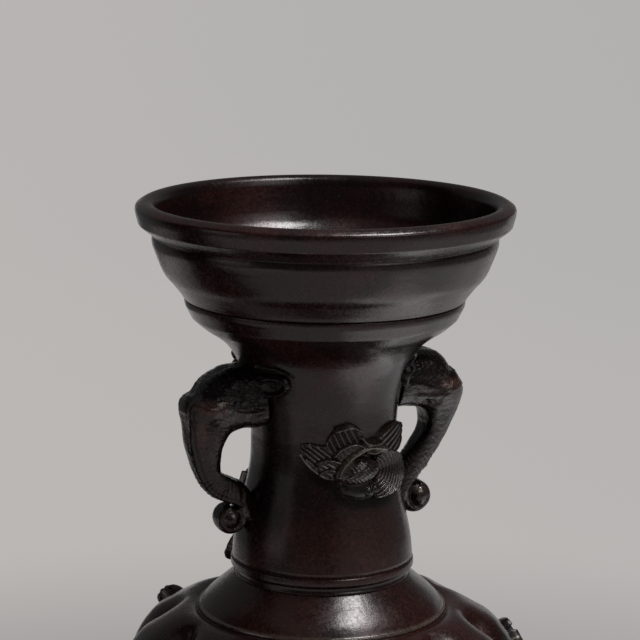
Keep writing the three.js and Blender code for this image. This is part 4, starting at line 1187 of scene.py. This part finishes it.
def shade_neck(piece):
    """Painted shadow round the lower part of the front bird, a painted dark reflection down the left of the
    neck, and rusty red low on its front.
    """
    azimuth, radius, z = lathe_places(piece)
    bird_azimuth, bird_height = FRONT_BIRD
    spots = np.stack([np.radians(azimuth - bird_azimuth) * radius, z - bird_height], 1)
    outlines = [BIRD[key] for key in ("belly", "fan", "outer_feathers", "upper_feathers")]
    inside = np.max([inside_distance(spots, outline) for outline in outlines], axis=0)
    painted_shadow = smoothstep(-5.5, -1.2, inside) * smoothstep(6, -4, spots[:, 1])
    # A painted dark reflection down the left of the neck.
    left = between(azimuth, -78, -50, 5) * between(z, 212, 262, 7)
    paint(piece, "soot_and_shade", np.clip(painted_shadow + left, 0, 1))
    paint(piece, "worn", 0.4 * between(azimuth, -42, 28, 10) * between(z, 194, 219, 5) * (1 - painted_shadow))


def shade_body(piece):
    """Rusty red on the left front of the collar, and a painted highlight of bare bronze colour along its
    edge.
    """
    azimuth, radius, z = lathe_places(piece)
    edge = between(radius, COLLAR_RADIUS - 0.9, COLLAR_RADIUS + 0.6, 0.2)
    on_collar = smoothstep(COLLAR_RADIUS + 1, COLLAR_RADIUS - 1, radius)
    # A painted highlight line along the collar's edge.
    paint(piece, "bare_and_highlight", edge * between(z, COLLAR_BASE - 0.1, COLLAR_BASE + 1.7, 0.2))
    paint(piece, "worn", 0.4 * between(azimuth, -70, -26, 9) * on_collar)


CASTINGS = {"mouth_cup": mouth_cup(), "neck": neck(), "body": body(), "foot": foot()}
shade_cup(CASTINGS["mouth_cup"])
shade_neck(CASTINGS["neck"])
shade_body(CASTINGS["body"])
for node, piece in CASTINGS.items():
    finish_piece(piece, node, cast_patina)

for side, shape in HANDLES.items():
    piece = handle(side + "_elephant_head", shape)
    finish_piece(piece, "handle_" + side, handle_patina)

# Where each bird lies, how far its wing's tip is raised, and how wide that wing's border is
BIRDS = {
    "neck_bird_front": (NeckHost(*FRONT_BIRD), 0.3, 0.6),
    "neck_bird_rear": (NeckHost(199, 214.5, turned=True), 5, 0.6),
    "body_bird_right": (ShoulderHost(78, 30, side=-1), 7.6, 0.6),
    "body_bird_left": (ShoulderHost(-160, 24, lean=15), 3.6, 4.5),
}
for node, (host, wing_lift, wing_edge) in BIRDS.items():
    piece = bird(node + "_relief", host, wing_lift, wing_edge)
    # The right body bird is darkened all over with painted shade, and its painted highlights are taken off,
    # to damp its glints.
    if node == "body_bird_right":
        paint(piece, "bare_and_highlight", 0)
        paint(piece, "soot_and_shade", 1)
    finish_piece(piece, node, bird_patina)

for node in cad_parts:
    if node == "base_plate" or "_rivet" in node:
        dress(bpy.data.objects[node], inner_bronze)


# Floor, backdrop, light and camera

def studio():
    """A pale round floor that curves up into a wall. Beyond about 0.3 to 0.7 m from the middle, camera,
    glossy and transmission rays see it as a painted glow, paler towards -X.
    """
    line = smooth([(0, 0), (1400, 0), (1900, 0), (2350, 140), (2600, 520), (2680, 1200), (2700, 2600)], 60)
    segments = 96
    rings = [on_axis(line[:, 0], 2 * math.pi * k / segments, line[:, 1]) for k in range(segments)]
    piece = make_object("studio", np.concatenate(rings), skin(segments, len(line), closed_line=False))
    n = Nodes("pale_paper")
    ray = n.add("ShaderNodeLightPath").outputs
    shown = n.math("MAXIMUM", ray["Is Camera Ray"], ray["Is Glossy Ray"])
    shown = n.math("MAXIMUM", shown, ray["Is Transmission Ray"])
    across = n.ramp(n.place_parts()["X"], -0.4, 1.9)
    pale = n.mix(across, (0.50, 0.478, 0.462, 1), (0.435, 0.43, 0.43, 1))
    n.fill(n.shader, {"Base Color": (0.6, 0.59, 0.58, 1), "Roughness": 0.9, "Specular IOR Level": 0.0})
    distance = n.add("ShaderNodeVectorMath", {0: n.place()}, operation="LENGTH").outputs["Value"]
    far = n.ramp(distance, 0.3, 0.7)
    glow = n.add("ShaderNodeEmission", {"Color": pale}).outputs[0]
    paper = n.shader.outputs["BSDF"]
    mixer = n.add("ShaderNodeMixShader", {0: n.math("MULTIPLY", shown, far), 1: paper, 2: glow})
    n.join(mixer.outputs[0], n.output.inputs["Surface"])
    dress(piece, n.material)


def softbox(name, place, size, radiance):
    """A rectangular soft light aimed at the vase. radiance is how bright its face looks."""
    light = bpy.data.lights.new(name, "AREA")
    light.shape = "RECTANGLE"
    light.size, light.size_y = size
    light.energy = radiance * math.pi * size[0] * size[1]
    lamp = add_object(name, light)
    lamp.location = place
    lamp.rotation_euler = (LIGHT_AIM - place).to_track_quat("-Z", "Y").to_euler()


def glowing_card(name, middle, across, along, radiance):
    """A flat card that shows in reflections only. across and along run from its middle to its edges."""
    mesh = bpy.data.meshes.new(name)
    low, high = middle - along, middle + along
    mesh.from_pydata([low - across, low + across, high + across, high - across], [], [(0, 1, 2, 3)])
    piece = add_object(name, mesh)
    n = Nodes(name)
    glow = n.add("ShaderNodeEmission", {"Color": (radiance, radiance, radiance, 1)})
    n.join(glow.outputs[0], n.output.inputs["Surface"])
    dress(piece, n.material)
    piece.visible_camera = False
    piece.visible_diffuse = False
    piece.visible_shadow = False


LIGHT_AIM = Vector((0, 0, 0.2))
VIEW_AZIMUTH = math.radians(-24)
VIEW_RIGHT = Vector((math.cos(VIEW_AZIMUTH), math.sin(VIEW_AZIMUTH), 0))
VIEW_BACK = Vector((math.sin(VIEW_AZIMUTH), -math.cos(VIEW_AZIMUTH), 0))


def from_camera(right, back, up):
    """A place given as the photographer saw it, in metres from the vase's axis."""
    return VIEW_RIGHT * right + VIEW_BACK * back + Vector((0, 0, up))


def round_camera(azimuth, distance, up=0.0):
    """A place at an azimuth from the photographer, positive to the right."""
    a = math.radians(azimuth)
    return from_camera(distance * math.sin(a), distance * math.cos(a), up)


# Upright cards: azimuth from the camera, distance, width, lower and upper height, radiance
CARDS = {
    "right_card": (47, 0.78, 0.76, 0.002, 0.34, 0.2),
    "right_rear_card": (102, 0.8, 0.85, 0.002, 0.34, 0.15),
    "right_flag": (50, 0.98, 1.15, 0.002, 0.62, 0.05),
    "right_rear_flag": (108, 0.98, 1.2, 0.002, 1.7, 0.05),
    "front_card": (-13.6, 0.78, 1.1, 0.002, 1.4, 0.055),
    "left_strip": (-59, 0.76, 0.12, 0.002, 0.5, 0.4),
    "low_left_flag": (-60, 0.74, 0.36, 0.002, 0.13, 0.012),
    "upper_left_flag": (-61, 0.8, 0.4, 0.6, 1.4, 0.02),
    "left_flag": (-91, 0.74, 0.5, 0.002, 1.4, 0.006),
    "left_rear_card": (-132, 0.85, 0.8, 0.002, 1.2, 0.11),
    "rear_flag": (180, 1.0, 1.8, 0.36, 1.4, 0.11),
}
# Cards that lie on the floor: azimuth from the camera, distance, height, length outwards, width, radiance
FLOOR_CARDS = {
    "near_floor_card": (88, 0.2, 0.004, 0.24, 0.34, 1.3),
    "far_floor_card": (92, 0.42, 0.003, 0.3, 0.7, 0.62),
    "dark_floor_card": (-91, 0.47, 0.003, 0.54, 0.34, 0.004),
}
studio()
softbox("top_box", from_camera(0.42, 0.12, 1.45), (0.42, 0.42), 19)
softbox("front_box", round_camera(46, 1.7, 1.75), (0.8, 1.1), 1.7)
for name, (azimuth, distance, width, low, high, radiance) in CARDS.items():
    middle = round_camera(azimuth, distance, (low + high) / 2)
    across, along = round_camera(azimuth + 90, width / 2), Vector((0, 0, (high - low) / 2))
    glowing_card(name, middle, across, along, radiance)
for name, (azimuth, distance, height, length, width, radiance) in FLOOR_CARDS.items():
    middle = round_camera(azimuth, distance, height)
    across, along = round_camera(azimuth, length / 2), round_camera(azimuth + 90, width / 2)
    glowing_card(name, middle, across, along, radiance)

world = bpy.data.worlds.new("world")
bpy.context.scene.world = world
world.use_nodes = True
world.node_tree.nodes["Background"].inputs["Color"].default_value = (0.15, 0.15, 0.155, 1)
world.node_tree.nodes["Background"].inputs["Strength"].default_value = 1.0

PHOTO_WIDTH = 640
FOCAL_PIXELS = 2470.0
SENSOR = 36.0
CAMERA_DISTANCE = 0.9
CAMERA_HEIGHT = 0.14
PITCH = math.radians(11.5)
ROLL = math.radians(0.6)
AXIS_SHIFT_PIXELS = 4.5


def photo_camera():
    data = bpy.data.cameras.new("camera")
    data.sensor_width = SENSOR
    data.lens = FOCAL_PIXELS * SENSOR / PHOTO_WIDTH
    data.clip_start = 0.05
    camera = add_object("camera", data)
    yaw = math.atan(AXIS_SHIFT_PIXELS / FOCAL_PIXELS)
    forward, up = rotate(-VIEW_BACK, Vector((0, 0, 1)), -PITCH)
    forward, right = rotate(forward, VIEW_RIGHT, -yaw)
    right, up = rotate(right, up, ROLL)
    turn = Matrix((right, up, -forward)).transposed().to_4x4()
    place = from_camera(0, CAMERA_DISTANCE, RIM_TOP * MM - 0.002 + CAMERA_HEIGHT)
    camera.matrix_world = Matrix.Translation(place) @ turn
    bpy.context.scene.camera = camera


photo_camera()
bpy.context.scene.view_settings.view_transform = "Standard"
